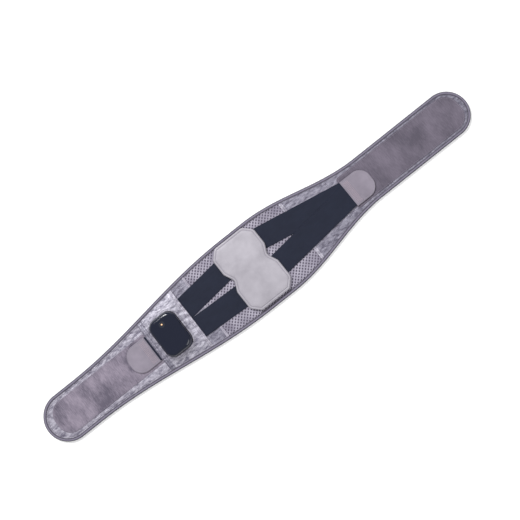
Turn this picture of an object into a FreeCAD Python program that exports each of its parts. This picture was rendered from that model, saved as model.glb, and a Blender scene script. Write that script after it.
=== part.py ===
"""Lumbar support belt with an electric heater, laid flat with its outer face up.

X runs along the belt, Y across it and Z out of its outer face.  The origin is the
centre of the belt's outline on the surface it lies on.  Millimetres throughout.
The belt is sewn in seven lengths that fold at six hinge lines, three on each side.
"""
import FreeCAD, Part
import math
import os
from FreeCAD import Vector

# ---- outline of the belt ----
BELT_LENGTH = 1100.0
WAIST_WIDTH = 179.0
LEFT_WING_WIDTH = 104.0
RIGHT_WING_WIDTH = 99.4
WAIST_LEVEL = 30.0          # the widest stretch runs this far to each side of the middle
LEFT_STRAIGHT = 100.0       # straight-sided end of the left wing, measured from its tip
RIGHT_STRAIGHT = 255.0
EDGE_STEP = 20.0            # spacing of the points that carry the edge curve

# ---- layers, from the skin outwards ----
LIP = 0.8                   # thickness of the binding tape over each face
CORE_THICKNESS = 5.2        # foam with its brushed lining
PANEL_THICKNESS = 1.0
LOOP_THICKNESS = 1.0
BINDING_WIDTH = 7.0
BINDING_WEB = 1.2
STRAP_THICKNESS = 1.2
STRAP_WIDTH = 49.5
UNDER_PAD = 9.0             # how far each strap runs in under the pad's edge
LEFT_UPPER_TOP = 61.0       # top edge of each strap at the pad
LEFT_LOWER_TOP = -5.0
RIGHT_UPPER_TOP = 67.0
RIGHT_LOWER_TOP = -2.5
POCKET_STRAP_REACH = 49.0   # outer edges of the left straps where they enter the pocket
POCKET_STRAP_SPLIT = -1.0   # their inner edges there
RIGHT_FOLD_UPPER_TOP = 37.0  # top edges of the right straps at the second fold
RIGHT_FOLD_LOWER_TOP = 14.5
FABRIC = 0.8                # pocket fabric
SLACK = 0.3                 # air between layers that move on each other
FOLD_GAP = 0.4              # gap between two lengths at a fold

# ---- fold lines ----
LEFT_SEAM = 136.0           # from the middle to the mesh's left seam, the first fold
RIGHT_SEAM = 117.0
RIGHT_SIDE_LENGTH = 78.0    # first fold to second fold on the right
TAB_TO_FOLD = 23.0          # fully pulled left tab to the third fold
RIGHT_TAB_TO_FOLD = 25.6

# ---- controller and its pocket ----
CONTROLLER_X = -224.6
CONTROLLER_WIDTH = 62.7
CONTROLLER_HEIGHT = 88.0
CONTROLLER_CORNER = 19.0
CONTROLLER_THICKNESS = 19.2
BASE_THICKNESS = 5.0
SHELL_WALL = 1.8
SHELL_ROUND = 9.0
WINDOW_SLACK = 0.8
TRAY_FLOOR = 1.2
TRAY_RIM = 1.6
TRAY_RIM_HEIGHT = 4.5
COLLAR_SPREAD = 4.0         # how far the collar's foot stands outside the tray rim
POCKET_RIGHT = -171.4
POCKET_FOLD_TO_CONTROLLER = 8.0
POCKET_SKIRT = 4.0
EDGE_TAPE_WIDTH = 6.6
HEM_WIDTH = 6.8             # part of the pocket's folded hem that lies past the fold
LIFT_TRAVEL = 25.0
KEY_RADIUS = 6.7
KEY_Y = 25.7
KEY_TRAVEL = 0.5
KEY_GAP = 0.25

# ---- pull tabs ----
TAB_LENGTH = 57.0
RIGHT_TAB_LENGTH = 59.0
TAB_WIDTH = 62.0
TAB_CORNER = 26.0
TAB_COVER = 1.2
HOOK_THICKNESS = 1.2
TAB_BAND = 17.0             # stitched band where the strap is sewn in
TAB_CLEAR = 0.15            # from the peel line to the strap's end and to the tab
TAB_SEAM = 1.0              # leatherette left round the hook patch
HOOK_INSET = 1.5
RIGHT_TAB_X = 239.5
LEFT_TAB_TO_HEM = 4.2
PULL_TRAVEL = 30.0
STRAP_END_WIDTH = 59.0
RIGHT_TAB_Y = -2.5
RIGHT_STRAP_END_Y = -1.0

# ---- back pad ----
PAD_X = -11.5
PAD_WIDTH = 107.0
PAD_WAIST = 86.0
PAD_THICKNESS = 13.0
PAD_CORNER = 18.0
PAD_ROUND = 4.0
PAD_MARGIN = 1.0            # pad edge to binding
PAD_SKIN = 1.2
PAD_PLATE = 1.6
PAD_PLATE_INSET = 8.0
STAY_WIDTH = 10.0
STAY_THICKNESS = 0.8
STAY_LENGTH = 124.0
STAY_TO_PAD = 30.0

# ---- heater ----
FILM_WIDTH = 84.0
FILM_HEIGHT = 110.0
FILM_THICKNESS = 0.4
LEAD_RADIUS = 1.1
LEAD_GROOVE = 0.3
LEAD_PASSAGE = (-3.0, 8.0)  # opening for the lead through the pocket's fabric, from the controller's middle
LEAD_PASSAGE_LENGTH = 14.0
LEAD_MARGIN = 2.0           # least distance from the lead's middle line to the binding

# ---- loop panels and closing hook ----
LEFT_LOOP_TIP = 24.0        # from the belt's tip to the loop panel
RIGHT_LOOP_TIP = 16.0
LEFT_LOOP_MARGIN = 8.0      # satin left between the binding and the loop panel
RIGHT_LOOP_MARGIN = 3.6
RIGHT_LOOP_START = 238.0
LOOP_CORNER = 6.0
HOOK_PATCH_LENGTH = 90.0
HOOK_PATCH_DEPTH = 1.0
HOOK_PATCH_TIP = 28.0

# ---- levels and places worked out from the sizes above ----
HALF_LENGTH = BELT_LENGTH / 2
WAIST_HALF = WAIST_WIDTH / 2
LEFT_HALF = LEFT_WING_WIDTH / 2
RIGHT_HALF = RIGHT_WING_WIDTH / 2
Z_LIP = LIP
Z_CORE = CORE_THICKNESS
Z_PANEL = CORE_THICKNESS + PANEL_THICKNESS
Z_BINDING = Z_PANEL + LIP
Z_LOOP = Z_PANEL + LOOP_THICKNESS
Z_STRAP = Z_PANEL + STRAP_THICKNESS
Z_STRAP_2 = Z_STRAP + STRAP_THICKNESS
Z_POCKET = Z_STRAP_2 + SLACK
Z_TRAY = Z_POCKET + TRAY_FLOOR
Z_CONTROLLER = Z_TRAY + 0.2
Z_CONTROLLER_TOP = Z_CONTROLLER + CONTROLLER_THICKNESS
Z_TAB = Z_LOOP + SLACK
Z_STRAP_END = Z_TAB + 2 * STRAP_THICKNESS - 0.2
Z_TAB_TOP = Z_STRAP_END + TAB_COVER
TRAY_REACH = WINDOW_SLACK + TRAY_RIM
LEFT_POCKET_FOLD = CONTROLLER_X - CONTROLLER_WIDTH / 2 - POCKET_FOLD_TO_CONTROLLER
LEFT_HEM_END = LEFT_POCKET_FOLD - FOLD_GAP / 2 - HEM_WIDTH
LEFT_TAB_X = LEFT_HEM_END - LEFT_TAB_TO_HEM
LEFT_END_FOLD = LEFT_TAB_X - TAB_LENGTH - PULL_TRAVEL - TAB_TO_FOLD
RIGHT_SIDE_FOLD = RIGHT_SEAM + RIGHT_SIDE_LENGTH
RIGHT_END_FOLD = RIGHT_TAB_X + RIGHT_TAB_LENGTH + PULL_TRAVEL + RIGHT_TAB_TO_FOLD
PAD_LEFT = PAD_X - PAD_WIDTH / 2
PAD_RIGHT = PAD_X + PAD_WIDTH / 2

# Each length of the belt, between its two fold lines.
LENGTHS = {
    "left_end": (-HALF_LENGTH - 1, LEFT_END_FOLD),
    "left_front": (LEFT_END_FOLD, LEFT_POCKET_FOLD),
    "left_side": (LEFT_POCKET_FOLD, -LEFT_SEAM),
    "back": (-LEFT_SEAM, RIGHT_SEAM),
    "right_side": (RIGHT_SEAM, RIGHT_SIDE_FOLD),
    "right_front": (RIGHT_SIDE_FOLD, RIGHT_END_FOLD),
    "right_end": (RIGHT_END_FOLD, HALF_LENGTH + 1),
}

nodes = {}


# ---- shapes that several parts use ----
def box(x0, x1, y0, y1, z0, z1):
    return Part.makeBox(x1 - x0, y1 - y0, z1 - z0, Vector(x0, y0, z0))


def cylinder(x, y, z0, z1, radius):
    return Part.makeCylinder(radius, z1 - z0, Vector(x, y, z0))


def prism(wire, z0, z1):
    """A wire drawn at z = 0, as a solid from z0 to z1."""
    face = Part.Face(wire)
    face.translate(Vector(0, 0, z0))
    return face.extrude(Vector(0, 0, z1 - z0))


def rounded_wire(points, radii, z=0.0):
    """A closed outline through corner points, each corner rounded to its own radius."""
    count = len(points)
    if not isinstance(radii, (list, tuple)):
        radii = [radii] * count
    corners = [Vector(x, y, z) for x, y in points]
    ends = []
    for i in range(count):
        before = (corners[i - 1] - corners[i]).normalize()
        after = (corners[(i + 1) % count] - corners[i]).normalize()
        half = before.getAngle(after) / 2
        if radii[i] <= 0:
            ends.append((corners[i], None, corners[i]))
            continue
        reach = radii[i] / math.tan(half)
        middle = (before + after).normalize()
        centre = corners[i] + middle * (radii[i] / math.sin(half))
        ends.append((corners[i] + before * reach, centre - middle * radii[i],
                     corners[i] + after * reach))
    edges = []
    for i in range(count):
        start, through, end = ends[i]
        if through is not None:
            edges.append(Part.Arc(start, through, end).toShape())
        following = ends[(i + 1) % count][0]
        if (following - end).Length > 1e-6:
            edges.append(Part.LineSegment(end, following).toShape())
    return Part.Wire(edges)


def rounded_rectangle(x, y, width, height, radius, z=0.0):
    half_x = width / 2
    half_y = height / 2
    points = [(x - half_x, y - half_y), (x + half_x, y - half_y),
              (x + half_x, y + half_y), (x - half_x, y + half_y)]
    return rounded_wire(points, radius, z)


def slab(x0, x1, y0, y1, z0, z1, radii):
    """A flat plate with its corners rounded, counted from (x0, y0) anticlockwise."""
    return prism(rounded_wire([(x0, y0), (x1, y0), (x1, y1), (x0, y1)], radii), z0, z1)


# ---- the belt's own outline ----
def half_width(x):
    """Half the belt's width at x: level at the waist, then a cosine down to each wing."""
    if x < 0:
        wing = LEFT_HALF
        taper = HALF_LENGTH - LEFT_STRAIGHT - WAIST_LEVEL
    else:
        wing = RIGHT_HALF
        taper = HALF_LENGTH - RIGHT_STRAIGHT - WAIST_LEVEL
    share = (abs(x) - WAIST_LEVEL) / taper
    share = min(max(share, 0.0), 1.0)
    return wing + (WAIST_HALF - wing) * (1 + math.cos(math.pi * share)) / 2


def outline_wire(inset):
    """The belt's outline, moved inwards by inset all round."""
    left = -HALF_LENGTH + LEFT_HALF
    right = HALF_LENGTH - RIGHT_HALF
    steps = int(round((right - left) / EDGE_STEP))
    upper = []
    for i in range(steps + 1):
        x = left + (right - left) * i / steps
        slope = (half_width(x + 0.5) - half_width(x - 0.5)) if 0 < i < steps else 0.0
        scale = inset / math.hypot(1.0, slope)
        upper.append(Vector(x + slope * scale, half_width(x) - scale, 0))
    lower = [Vector(p.x, -p.y, 0) for p in reversed(upper)]
    edge_top = Part.BSplineCurve()
    edge_top.interpolate(upper, InitialTangent=Vector(1, 0, 0), FinalTangent=Vector(1, 0, 0))
    edge_bottom = Part.BSplineCurve()
    edge_bottom.interpolate(lower, InitialTangent=Vector(-1, 0, 0), FinalTangent=Vector(-1, 0, 0))
    tip_right = Vector(HALF_LENGTH - inset, 0, 0)
    tip_left = Vector(-HALF_LENGTH + inset, 0, 0)
    return Part.Wire([
        edge_top.toShape(),
        Part.Arc(upper[-1], tip_right, lower[0]).toShape(),
        edge_bottom.toShape(),
        Part.Arc(lower[-1], tip_left, upper[0]).toShape(),
    ])


def length_box(name, z0, z1):
    """The space that one length of the belt may fill, a little short of its folds."""
    x0, x1 = LENGTHS[name]
    reach = WAIST_HALF + 10
    return box(x0 + FOLD_GAP / 2, x1 - FOLD_GAP / 2, -reach, reach, z0, z1)


# ---- belt layers ----
def belt_layers():
    under_tape = outline_wire(BINDING_WEB)
    inside_tape = outline_wire(BINDING_WIDTH)
    core = prism(inside_tape, 0, Z_LIP).fuse(prism(under_tape, Z_LIP, Z_CORE))
    panel = prism(under_tape, Z_CORE, Z_PANEL)
    tape = prism(outline_wire(0.0), 0, Z_BINDING)
    tape = tape.cut(prism(under_tape, Z_LIP, Z_PANEL))
    tape = tape.cut(prism(inside_tape, -1, Z_BINDING + 1))
    for name in LENGTHS:
        room = length_box(name, -2, Z_BINDING + 2)
        nodes[name + "_core"] = core.common(room)
        panel_name = "mesh_panel" if name == "back" else name + "_panel"
        nodes[panel_name] = panel.common(room)
        nodes[name + "_binding"] = tape.common(room)


# ---- loop panels ----
def loop_panels():
    left_half = LEFT_HALF - BINDING_WIDTH - LEFT_LOOP_MARGIN
    left_round = left_half - LOOP_CORNER
    left = slab(-HALF_LENGTH + LEFT_LOOP_TIP, LEFT_HEM_END - 1, -left_half, left_half,
                Z_PANEL, Z_LOOP, [left_round, 0, 0, left_round])
    right_half = RIGHT_HALF - BINDING_WIDTH - RIGHT_LOOP_MARGIN
    right_round = right_half - LOOP_CORNER
    right = slab(RIGHT_LOOP_START, HALF_LENGTH - RIGHT_LOOP_TIP, -right_half, right_half,
                 Z_PANEL, Z_LOOP, [LOOP_CORNER, right_round, right_round, LOOP_CORNER])
    for name in ("left_end", "left_front"):
        nodes[name + "_loop"] = left.common(length_box(name, 0, Z_LOOP + 1))
    for name in ("right_end", "right_front"):
        nodes[name + "_loop"] = right.common(length_box(name, 0, Z_LOOP + 1))


def closing_hook():
    """Hook patch let into the lining under the tip of the left wing."""
    half = LEFT_HALF - BINDING_WIDTH - LEFT_LOOP_MARGIN
    x0 = -HALF_LENGTH + HOOK_PATCH_TIP
    patch = slab(x0, x0 + HOOK_PATCH_LENGTH, -half, half, 0, HOOK_PATCH_DEPTH, LOOP_CORNER)
    patch = patch.common(length_box("left_end", -1, 2))
    nodes["closing_hook_patch"] = patch
    nodes["left_end_core"] = nodes["left_end_core"].cut(patch)


# ---- elastic straps ----
def strap(stations, z0):
    """A flat strap whose edges run through (x, top y, bottom y) stations."""
    upper = [(x, top) for x, top, bottom in stations]
    lower = [(x, bottom) for x, top, bottom in reversed(stations)]
    return prism(rounded_wire(upper + lower, 0), z0, z0 + STRAP_THICKNESS)


def straps():
    end_half = STRAP_END_WIDTH / 2
    left_x = PAD_LEFT + UNDER_PAD
    right_x = PAD_RIGHT - UNDER_PAD
    fold = LEFT_POCKET_FOLD
    left_upper = [(left_x, LEFT_UPPER_TOP, LEFT_UPPER_TOP - STRAP_WIDTH),
                  (POCKET_RIGHT, POCKET_STRAP_REACH, POCKET_STRAP_SPLIT),
                  (fold, end_half, end_half - STRAP_WIDTH)]
    left_lower = [(left_x, LEFT_LOWER_TOP, LEFT_LOWER_TOP - STRAP_WIDTH),
                  (POCKET_RIGHT, POCKET_STRAP_SPLIT, -POCKET_STRAP_REACH),
                  (fold, STRAP_WIDTH - end_half, -end_half)]
    right_upper = [(right_x, RIGHT_UPPER_TOP, RIGHT_UPPER_TOP - STRAP_WIDTH),
                   (RIGHT_SIDE_FOLD, RIGHT_FOLD_UPPER_TOP, RIGHT_FOLD_UPPER_TOP - STRAP_WIDTH)]
    right_lower = [(right_x, RIGHT_LOWER_TOP, RIGHT_LOWER_TOP - STRAP_WIDTH),
                   (RIGHT_SIDE_FOLD, RIGHT_FOLD_LOWER_TOP, RIGHT_FOLD_LOWER_TOP - STRAP_WIDTH)]
    back_room = length_box("back", 0, Z_POCKET)
    left_room = length_box("left_side", 0, Z_POCKET)
    right_room = length_box("right_side", 0, Z_POCKET)
    nodes["left_upper_strap"] = strap(left_upper, Z_PANEL).common(back_room)
    nodes["left_lower_strap"] = strap(left_lower, Z_PANEL).common(back_room)
    nodes["right_upper_strap"] = strap(right_upper, Z_PANEL).common(back_room)
    nodes["right_lower_strap"] = strap(right_lower, Z_STRAP).common(back_room)
    nodes["left_side_upper_strap"] = strap(left_upper, Z_PANEL).common(left_room)
    nodes["left_side_lower_strap"] = strap(left_lower, Z_STRAP).common(left_room)
    nodes["right_side_upper_strap"] = strap(right_upper, Z_PANEL).common(right_room)
    nodes["right_side_lower_strap"] = strap(right_lower, Z_STRAP).common(right_room)
    nodes["left_strap_end"] = box(LEFT_TAB_X + TAB_CLEAR, fold - FOLD_GAP, -end_half, end_half,
                                  Z_TAB, Z_STRAP_END)
    start = RIGHT_SIDE_FOLD + FOLD_GAP
    stop = RIGHT_TAB_X - TAB_CLEAR
    outline = [(start, RIGHT_FOLD_UPPER_TOP), (stop, RIGHT_STRAP_END_Y + end_half),
               (stop, RIGHT_STRAP_END_Y - end_half), (start, RIGHT_FOLD_LOWER_TOP - STRAP_WIDTH)]
    nodes["right_strap_end"] = prism(rounded_wire(outline, 0), Z_TAB, Z_STRAP_END)


# ---- pull tabs ----
def pull_tab(side, edge_x, length, centre_y):
    """A padded tab with a hook patch under it; side is -1 for a tab that points to -X."""
    start = edge_x + TAB_CLEAR * side
    stop = edge_x + length * side
    band = edge_x + TAB_BAND * side
    half = TAB_WIDTH / 2
    low = centre_y - half
    high = centre_y + half

    def plate(x0, x1, grow, z0, z1):
        corner = TAB_CORNER - grow
        if side > 0:
            radii = [1.0, corner, corner, 1.0]
        else:
            radii = [corner, 1.0, 1.0, corner]
        first, second = sorted((x0, x1))
        return slab(first, second, low + grow, high - grow, z0, z1, radii)

    cover = plate(start, stop, 0.0, Z_TAB + HOOK_THICKNESS, Z_TAB_TOP)
    strap_room = box(*sorted((start - side, band)), low - 1, high + 1, Z_TAB, Z_STRAP_END)
    cover = cover.cut(strap_room)
    hook = plate(band + TAB_SEAM * side, stop - HOOK_INSET * side, HOOK_INSET,
                 Z_TAB, Z_TAB + HOOK_THICKNESS)
    return cover, hook


def pull_tabs():
    cover, hook = pull_tab(-1, LEFT_TAB_X, TAB_LENGTH, 0.0)
    nodes["left_tab_cover"] = cover
    nodes["left_tab_hook"] = hook
    cover, hook = pull_tab(1, RIGHT_TAB_X, RIGHT_TAB_LENGTH, RIGHT_TAB_Y)
    nodes["right_tab_cover"] = cover
    nodes["right_tab_hook"] = hook


# ---- back pad ----
PAD_WAIST_RAISE = 3.0       # the narrow part lies this much above the pad's middle
PAD_NOTCH = 22.0            # from the narrow part to where the lobes have their full width
PAD_RADII = [9.0, 12.0, 14.0, 12.0, 14.0, 12.0, 9.0]


def pad_outline(inset):
    """A bone-shaped outline: two wide lobes and a narrower middle, its corners cut off."""
    lobe = PAD_WIDTH / 2 - inset
    neck = PAD_WAIST / 2 - inset
    crown = PAD_WIDTH / 2 - PAD_CORNER - inset * 0.6
    top = WAIST_HALF - BINDING_WIDTH - PAD_MARGIN - inset
    bottom = -top + 3.0 * PAD_MARGIN
    middle = (top + bottom) / 2 + PAD_WAIST_RAISE
    notch = PAD_NOTCH
    right = [(crown, top), (lobe, top - PAD_CORNER), (lobe, middle + notch), (neck, middle),
             (lobe, middle - notch), (lobe, bottom + PAD_CORNER), (crown, bottom)]
    points = [(PAD_X + x, y) for x, y in right]
    points += [(PAD_X - x, y) for x, y in reversed(right)]
    return rounded_wire(points, PAD_RADII + PAD_RADII[::-1])


def top_edges(shape, z):
    """The edges of a shape that lie wholly at height z."""
    def level(edge):
        return abs(edge.BoundBox.ZMin - z) < 1e-4 and abs(edge.BoundBox.ZMax - z) < 1e-4

    return [edge for edge in shape.Edges if level(edge)]


def back_pad():
    z_top = Z_PANEL + PAD_THICKNESS
    z_plate = Z_STRAP_2 + SLACK + PAD_SKIN
    outer = prism(pad_outline(0.0), Z_PANEL, z_top)
    outer = outer.makeFillet(PAD_ROUND, top_edges(outer, z_top))
    inner_top = z_top - PAD_SKIN
    inner = prism(pad_outline(PAD_SKIN), z_plate, inner_top)
    inner = inner.makeFillet(PAD_ROUND - PAD_SKIN, top_edges(inner, inner_top))
    plate = prism(pad_outline(PAD_PLATE_INSET), z_plate, z_plate + PAD_PLATE)
    cover = outer.cut(inner)
    for name in ("left_upper_strap", "left_lower_strap", "right_upper_strap", "right_lower_strap"):
        cover = cover.cut(nodes[name])
    nodes["pad_cover"] = cover
    nodes["pad_foam"] = inner.cut(plate)
    nodes["pad_plate"] = plate


def stays():
    """Two spring steel stays in the core, one on each side of the pad."""
    z0 = (Z_CORE - STAY_THICKNESS) / 2
    half = STAY_LENGTH / 2
    round_end = STAY_WIDTH / 2 - 0.5
    for name, x in (("left_stay", PAD_LEFT - STAY_TO_PAD), ("right_stay", PAD_RIGHT + STAY_TO_PAD)):
        stay = slab(x - STAY_WIDTH / 2, x + STAY_WIDTH / 2, -half, half, z0, z0 + STAY_THICKNESS, round_end)
        nodes[name] = stay
        nodes["back_core"] = nodes["back_core"].cut(stay)


# ---- heater film and its lead ----
def tube(points, radius):
    """A round tube along straight runs joined by tangent arcs."""
    route = [Vector(*p) for p in points]
    edges = []
    here = route[0]
    for before, corner, after in zip(route, route[1:], route[2:]):
        arriving = (before - corner)
        leaving = (after - corner)
        shorter = min(arriving.Length, leaving.Length)
        arriving.normalize()
        leaving.normalize()
        half_turn = (math.pi - arriving.getAngle(leaving)) / 2
        bend = 0.45 * shorter / math.tan(half_turn)
        reach = 0.45 * shorter
        middle = (arriving + leaving).normalize()
        start = corner + arriving * reach
        end = corner + leaving * reach
        centre_distance = math.hypot(bend, reach)
        through = corner + middle * (centre_distance - bend)
        edges.append(Part.LineSegment(here, start).toShape())
        edges.append(Part.Arc(start, through, end).toShape())
        here = end
    edges.append(Part.LineSegment(here, route[-1]).toShape())
    path = Part.Wire(edges)
    circle = Part.Wire([Part.Circle(route[0], route[1] - route[0], radius).toShape()])
    solid = path.makePipeShell([circle], True, False)
    return solid, path.Length


def heater():
    film_z = Z_LIP + 0.2
    film_half = FILM_WIDTH / 2
    film = box(PAD_X - film_half, PAD_X + film_half, -FILM_HEIGHT / 2, FILM_HEIGHT / 2,
               film_z, film_z + FILM_THICKNESS)
    nodes["heating_film"] = film
    nodes["back_core"] = nodes["back_core"].cut(film)
    low = film_z + FILM_THICKNESS + LEAD_RADIUS
    tray_edge = -CONTROLLER_HEIGHT / 2 - TRAY_REACH
    tray_z = Z_TRAY - LEAD_RADIUS + 0.3
    x = CONTROLLER_X
    film_x = PAD_X - film_half
    route = [(x, tray_edge, tray_z), (x, tray_edge - 5, tray_z), (x + 2, tray_edge - 12, low),
             (x + 8, tray_edge - 17, low), (x + 26, tray_edge - 18.5, low),
             (x + 62, tray_edge - 17, low), (x + 98, tray_edge - 18.5, low),
             (film_x - 32, tray_edge - 17, low), (film_x - 12, tray_edge - 12, low),
             (film_x + 2, tray_edge + 2, low), (film_x + 12, tray_edge + 8, low)]
    route = [(px, max(py, LEAD_MARGIN + BINDING_WIDTH - half_width(px)), pz) for px, py, pz in route]
    lead, length = tube(route, LEAD_RADIUS)
    groove, _ = tube(route, LEAD_RADIUS + LEAD_GROOVE)
    share = lead.Volume / (length * math.pi * LEAD_RADIUS ** 2)
    print("heater lead %.1f mm long, volume %.4f of section times length" % (length, share))
    nodes["heater_lead"] = lead
    for name in ("back_core", "left_side_core", "left_side_panel"):
        nodes[name] = nodes[name].cut(groove)
    nodes["heating_film"] = film.cut(lead)


# ---- controller pocket ----
def controller_wire(grow, z=0.0):
    return rounded_rectangle(CONTROLLER_X, 0, CONTROLLER_WIDTH + 2 * grow,
                             CONTROLLER_HEIGHT + 2 * grow, CONTROLLER_CORNER + grow, z)


def frustum(grow_low, z_low, grow_high, z_high):
    return Part.makeLoft([controller_wire(grow_low, z_low), controller_wire(grow_high, z_high)], True, True)


def pocket():
    z_rim = Z_POCKET + TRAY_RIM_HEIGHT
    tray = prism(controller_wire(TRAY_REACH), Z_POCKET, z_rim)
    tray = tray.cut(prism(controller_wire(WINDOW_SLACK), Z_TRAY, z_rim + 1))
    nodes["dock_tray"] = tray
    x0 = LEFT_POCKET_FOLD + FOLD_GAP / 2
    room = box(x0, POCKET_RIGHT, -WAIST_HALF, WAIST_HALF, 0, z_rim + 10)
    inside = outline_wire(BINDING_WIDTH + 1)
    skirt = prism(inside, Z_PANEL, Z_POCKET)
    skirt = skirt.cut(prism(outline_wire(BINDING_WIDTH + 1 + POCKET_SKIRT), Z_PANEL - 1, Z_POCKET + 1))
    sheet = prism(inside, Z_POCKET, Z_POCKET + FABRIC)
    foot = TRAY_REACH + COLLAR_SPREAD
    collar = frustum(foot, Z_POCKET + FABRIC, TRAY_REACH + FABRIC, z_rim + FABRIC)
    hollow = frustum(foot - FABRIC, Z_POCKET - 0.01, TRAY_REACH + 0.05, z_rim)
    panel = skirt.fuse(sheet).fuse(collar).cut(hollow)
    panel = panel.cut(prism(controller_wire(WINDOW_SLACK), 0, z_rim + 5))
    panel = panel.common(room)
    groove = box(CONTROLLER_X + LEAD_PASSAGE[0], CONTROLLER_X + LEAD_PASSAGE[1],
                 -CONTROLLER_HEIGHT / 2 - foot - LEAD_PASSAGE_LENGTH,
                 -CONTROLLER_HEIGHT / 2 - TRAY_REACH - 0.5, Z_PANEL, Z_TRAY + LEAD_RADIUS)
    nodes["pocket_panel"] = panel.cut(groove)
    tape = prism(inside, Z_POCKET + FABRIC, Z_POCKET + 2 * FABRIC)
    nodes["pocket_edge_tape"] = tape.common(box(POCKET_RIGHT - EDGE_TAPE_WIDTH, POCKET_RIGHT,
                                                -WAIST_HALF, WAIST_HALF, 0, z_rim))
    z_hem = Z_STRAP_END + SLACK
    hem = prism(inside, Z_PANEL, z_hem + FABRIC)
    hem = hem.common(box(LEFT_HEM_END, LEFT_HEM_END + HEM_WIDTH, -WAIST_HALF, WAIST_HALF, 0, 20))
    slot_half = STRAP_END_WIDTH / 2 + 1
    nodes["pocket_hem"] = hem.cut(box(LEFT_HEM_END - 1, x0, -slot_half, slot_half, 0, z_hem))


# ---- controller ----
BOSS_FROM_SIDE = 8.4        # middle of a screw boss from the housing's sides
BOSS_FROM_END = 8.0
BOSS_RADIUS = 2.5
BOSS_HEIGHT = 7.0           # above the line where base and cover meet
SCREW_RADIUS = 1.0
SCREW_TIP = 1.5             # from the screw's tip to the boss's top
HEAD_RADIUS = 1.9
HEAD_DEPTH = 1.0
FLOOR_THICKNESS = 1.5
KEY_X = CONTROLLER_X - 1.1
KEY_RECESS = 0.1            # the key sits this much below the cover
KEY_RIM = 1.2               # flange that keeps the key in
STEM_OFFSET = 4.2           # from the key's middle to its stem, over the switch
STEM_RADIUS = 1.5
SWITCH_HALF = (3.0, 2.0)
SWITCH_HEIGHT = 1.5
BOARD_HALF = 18.0
BOARD_ENDS = (-32.0, 34.0)
BOARD_THICKNESS = 1.6
BOARD_TO_ROOF = 6.5
PORT_HALF = 4.5
PORT_HEIGHT = 3.2
PORT_DEPTH = 7.5
PORT_WALL = 0.6
PORT_INSET = 0.6            # the port's face from the housing's end
THROAT_DEPTH = 5.9
MOUTH_HALF = 5.2
MOUTH_MARGIN = 0.5
CELL_ENDS = (-24.0, 32.0)
CELL_THICKNESS = 5.5
CELL_GAP = 0.3
PIN_PITCH = 6.0
PIN_Y = -33.0
PIN_RADIUS = 1.0
Z_FLOOR = Z_CONTROLLER + FLOOR_THICKNESS
Z_SPLIT = Z_CONTROLLER + BASE_THICKNESS
Z_ROOF = Z_CONTROLLER_TOP - SHELL_WALL


def boss_places():
    reach_x = CONTROLLER_WIDTH / 2 - BOSS_FROM_SIDE
    reach_y = CONTROLLER_HEIGHT / 2 - BOSS_FROM_END
    return [(CONTROLLER_X + sx * reach_x, sy * reach_y) for sx in (-1, 1) for sy in (-1, 1)]


def housing():
    """The controller's base and cover, held together by four screws."""
    z_boss = Z_SPLIT + BOSS_HEIGHT
    base = prism(controller_wire(0.0), Z_CONTROLLER, Z_SPLIT)
    base = base.cut(prism(controller_wire(-SHELL_WALL), Z_FLOOR, Z_SPLIT + 1))
    outer = prism(controller_wire(0.0), Z_SPLIT, Z_CONTROLLER_TOP)
    outer = outer.makeFillet(SHELL_ROUND, top_edges(outer, Z_CONTROLLER_TOP))
    inner = prism(controller_wire(-SHELL_WALL), Z_SPLIT - 1, Z_ROOF)
    inner = inner.makeFillet(SHELL_ROUND - SHELL_WALL, top_edges(inner, Z_ROOF))
    cover = outer.cut(inner)
    screws = []
    for x, y in boss_places():
        boss = cylinder(x, y, Z_FLOOR, z_boss, BOSS_RADIUS)
        cover = cover.fuse(boss.cut(base))
        screw = cylinder(x, y, Z_CONTROLLER, Z_CONTROLLER + HEAD_DEPTH, HEAD_RADIUS)
        screw = screw.fuse(cylinder(x, y, Z_CONTROLLER, z_boss - SCREW_TIP, SCREW_RADIUS))
        cover = cover.cut(screw)
        base = base.cut(screw).cut(boss.cut(prism(controller_wire(0.0), 0, Z_FLOOR)))
        screws.append(screw)
    return base, cover, screws


def usb_port(port_y, port_z):
    """A socket shell lying along Y, with its open throat."""
    def lying(half, height, depth, corner, y, z):
        shape = slab(CONTROLLER_X - half, CONTROLLER_X + half, 0, height, 0, depth, corner)
        shape.rotate(Vector(CONTROLLER_X, 0, 0), Vector(1, 0, 0), 90)
        shape.translate(Vector(0, y, z))
        return shape

    shell = lying(PORT_HALF, PORT_HEIGHT, PORT_DEPTH, 1.4, port_y + PORT_DEPTH, port_z)
    throat = lying(PORT_HALF - PORT_WALL, PORT_HEIGHT - 2 * PORT_WALL, THROAT_DEPTH + 0.1, 0.9,
                   port_y + THROAT_DEPTH, port_z + PORT_WALL)
    return shell, throat


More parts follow.
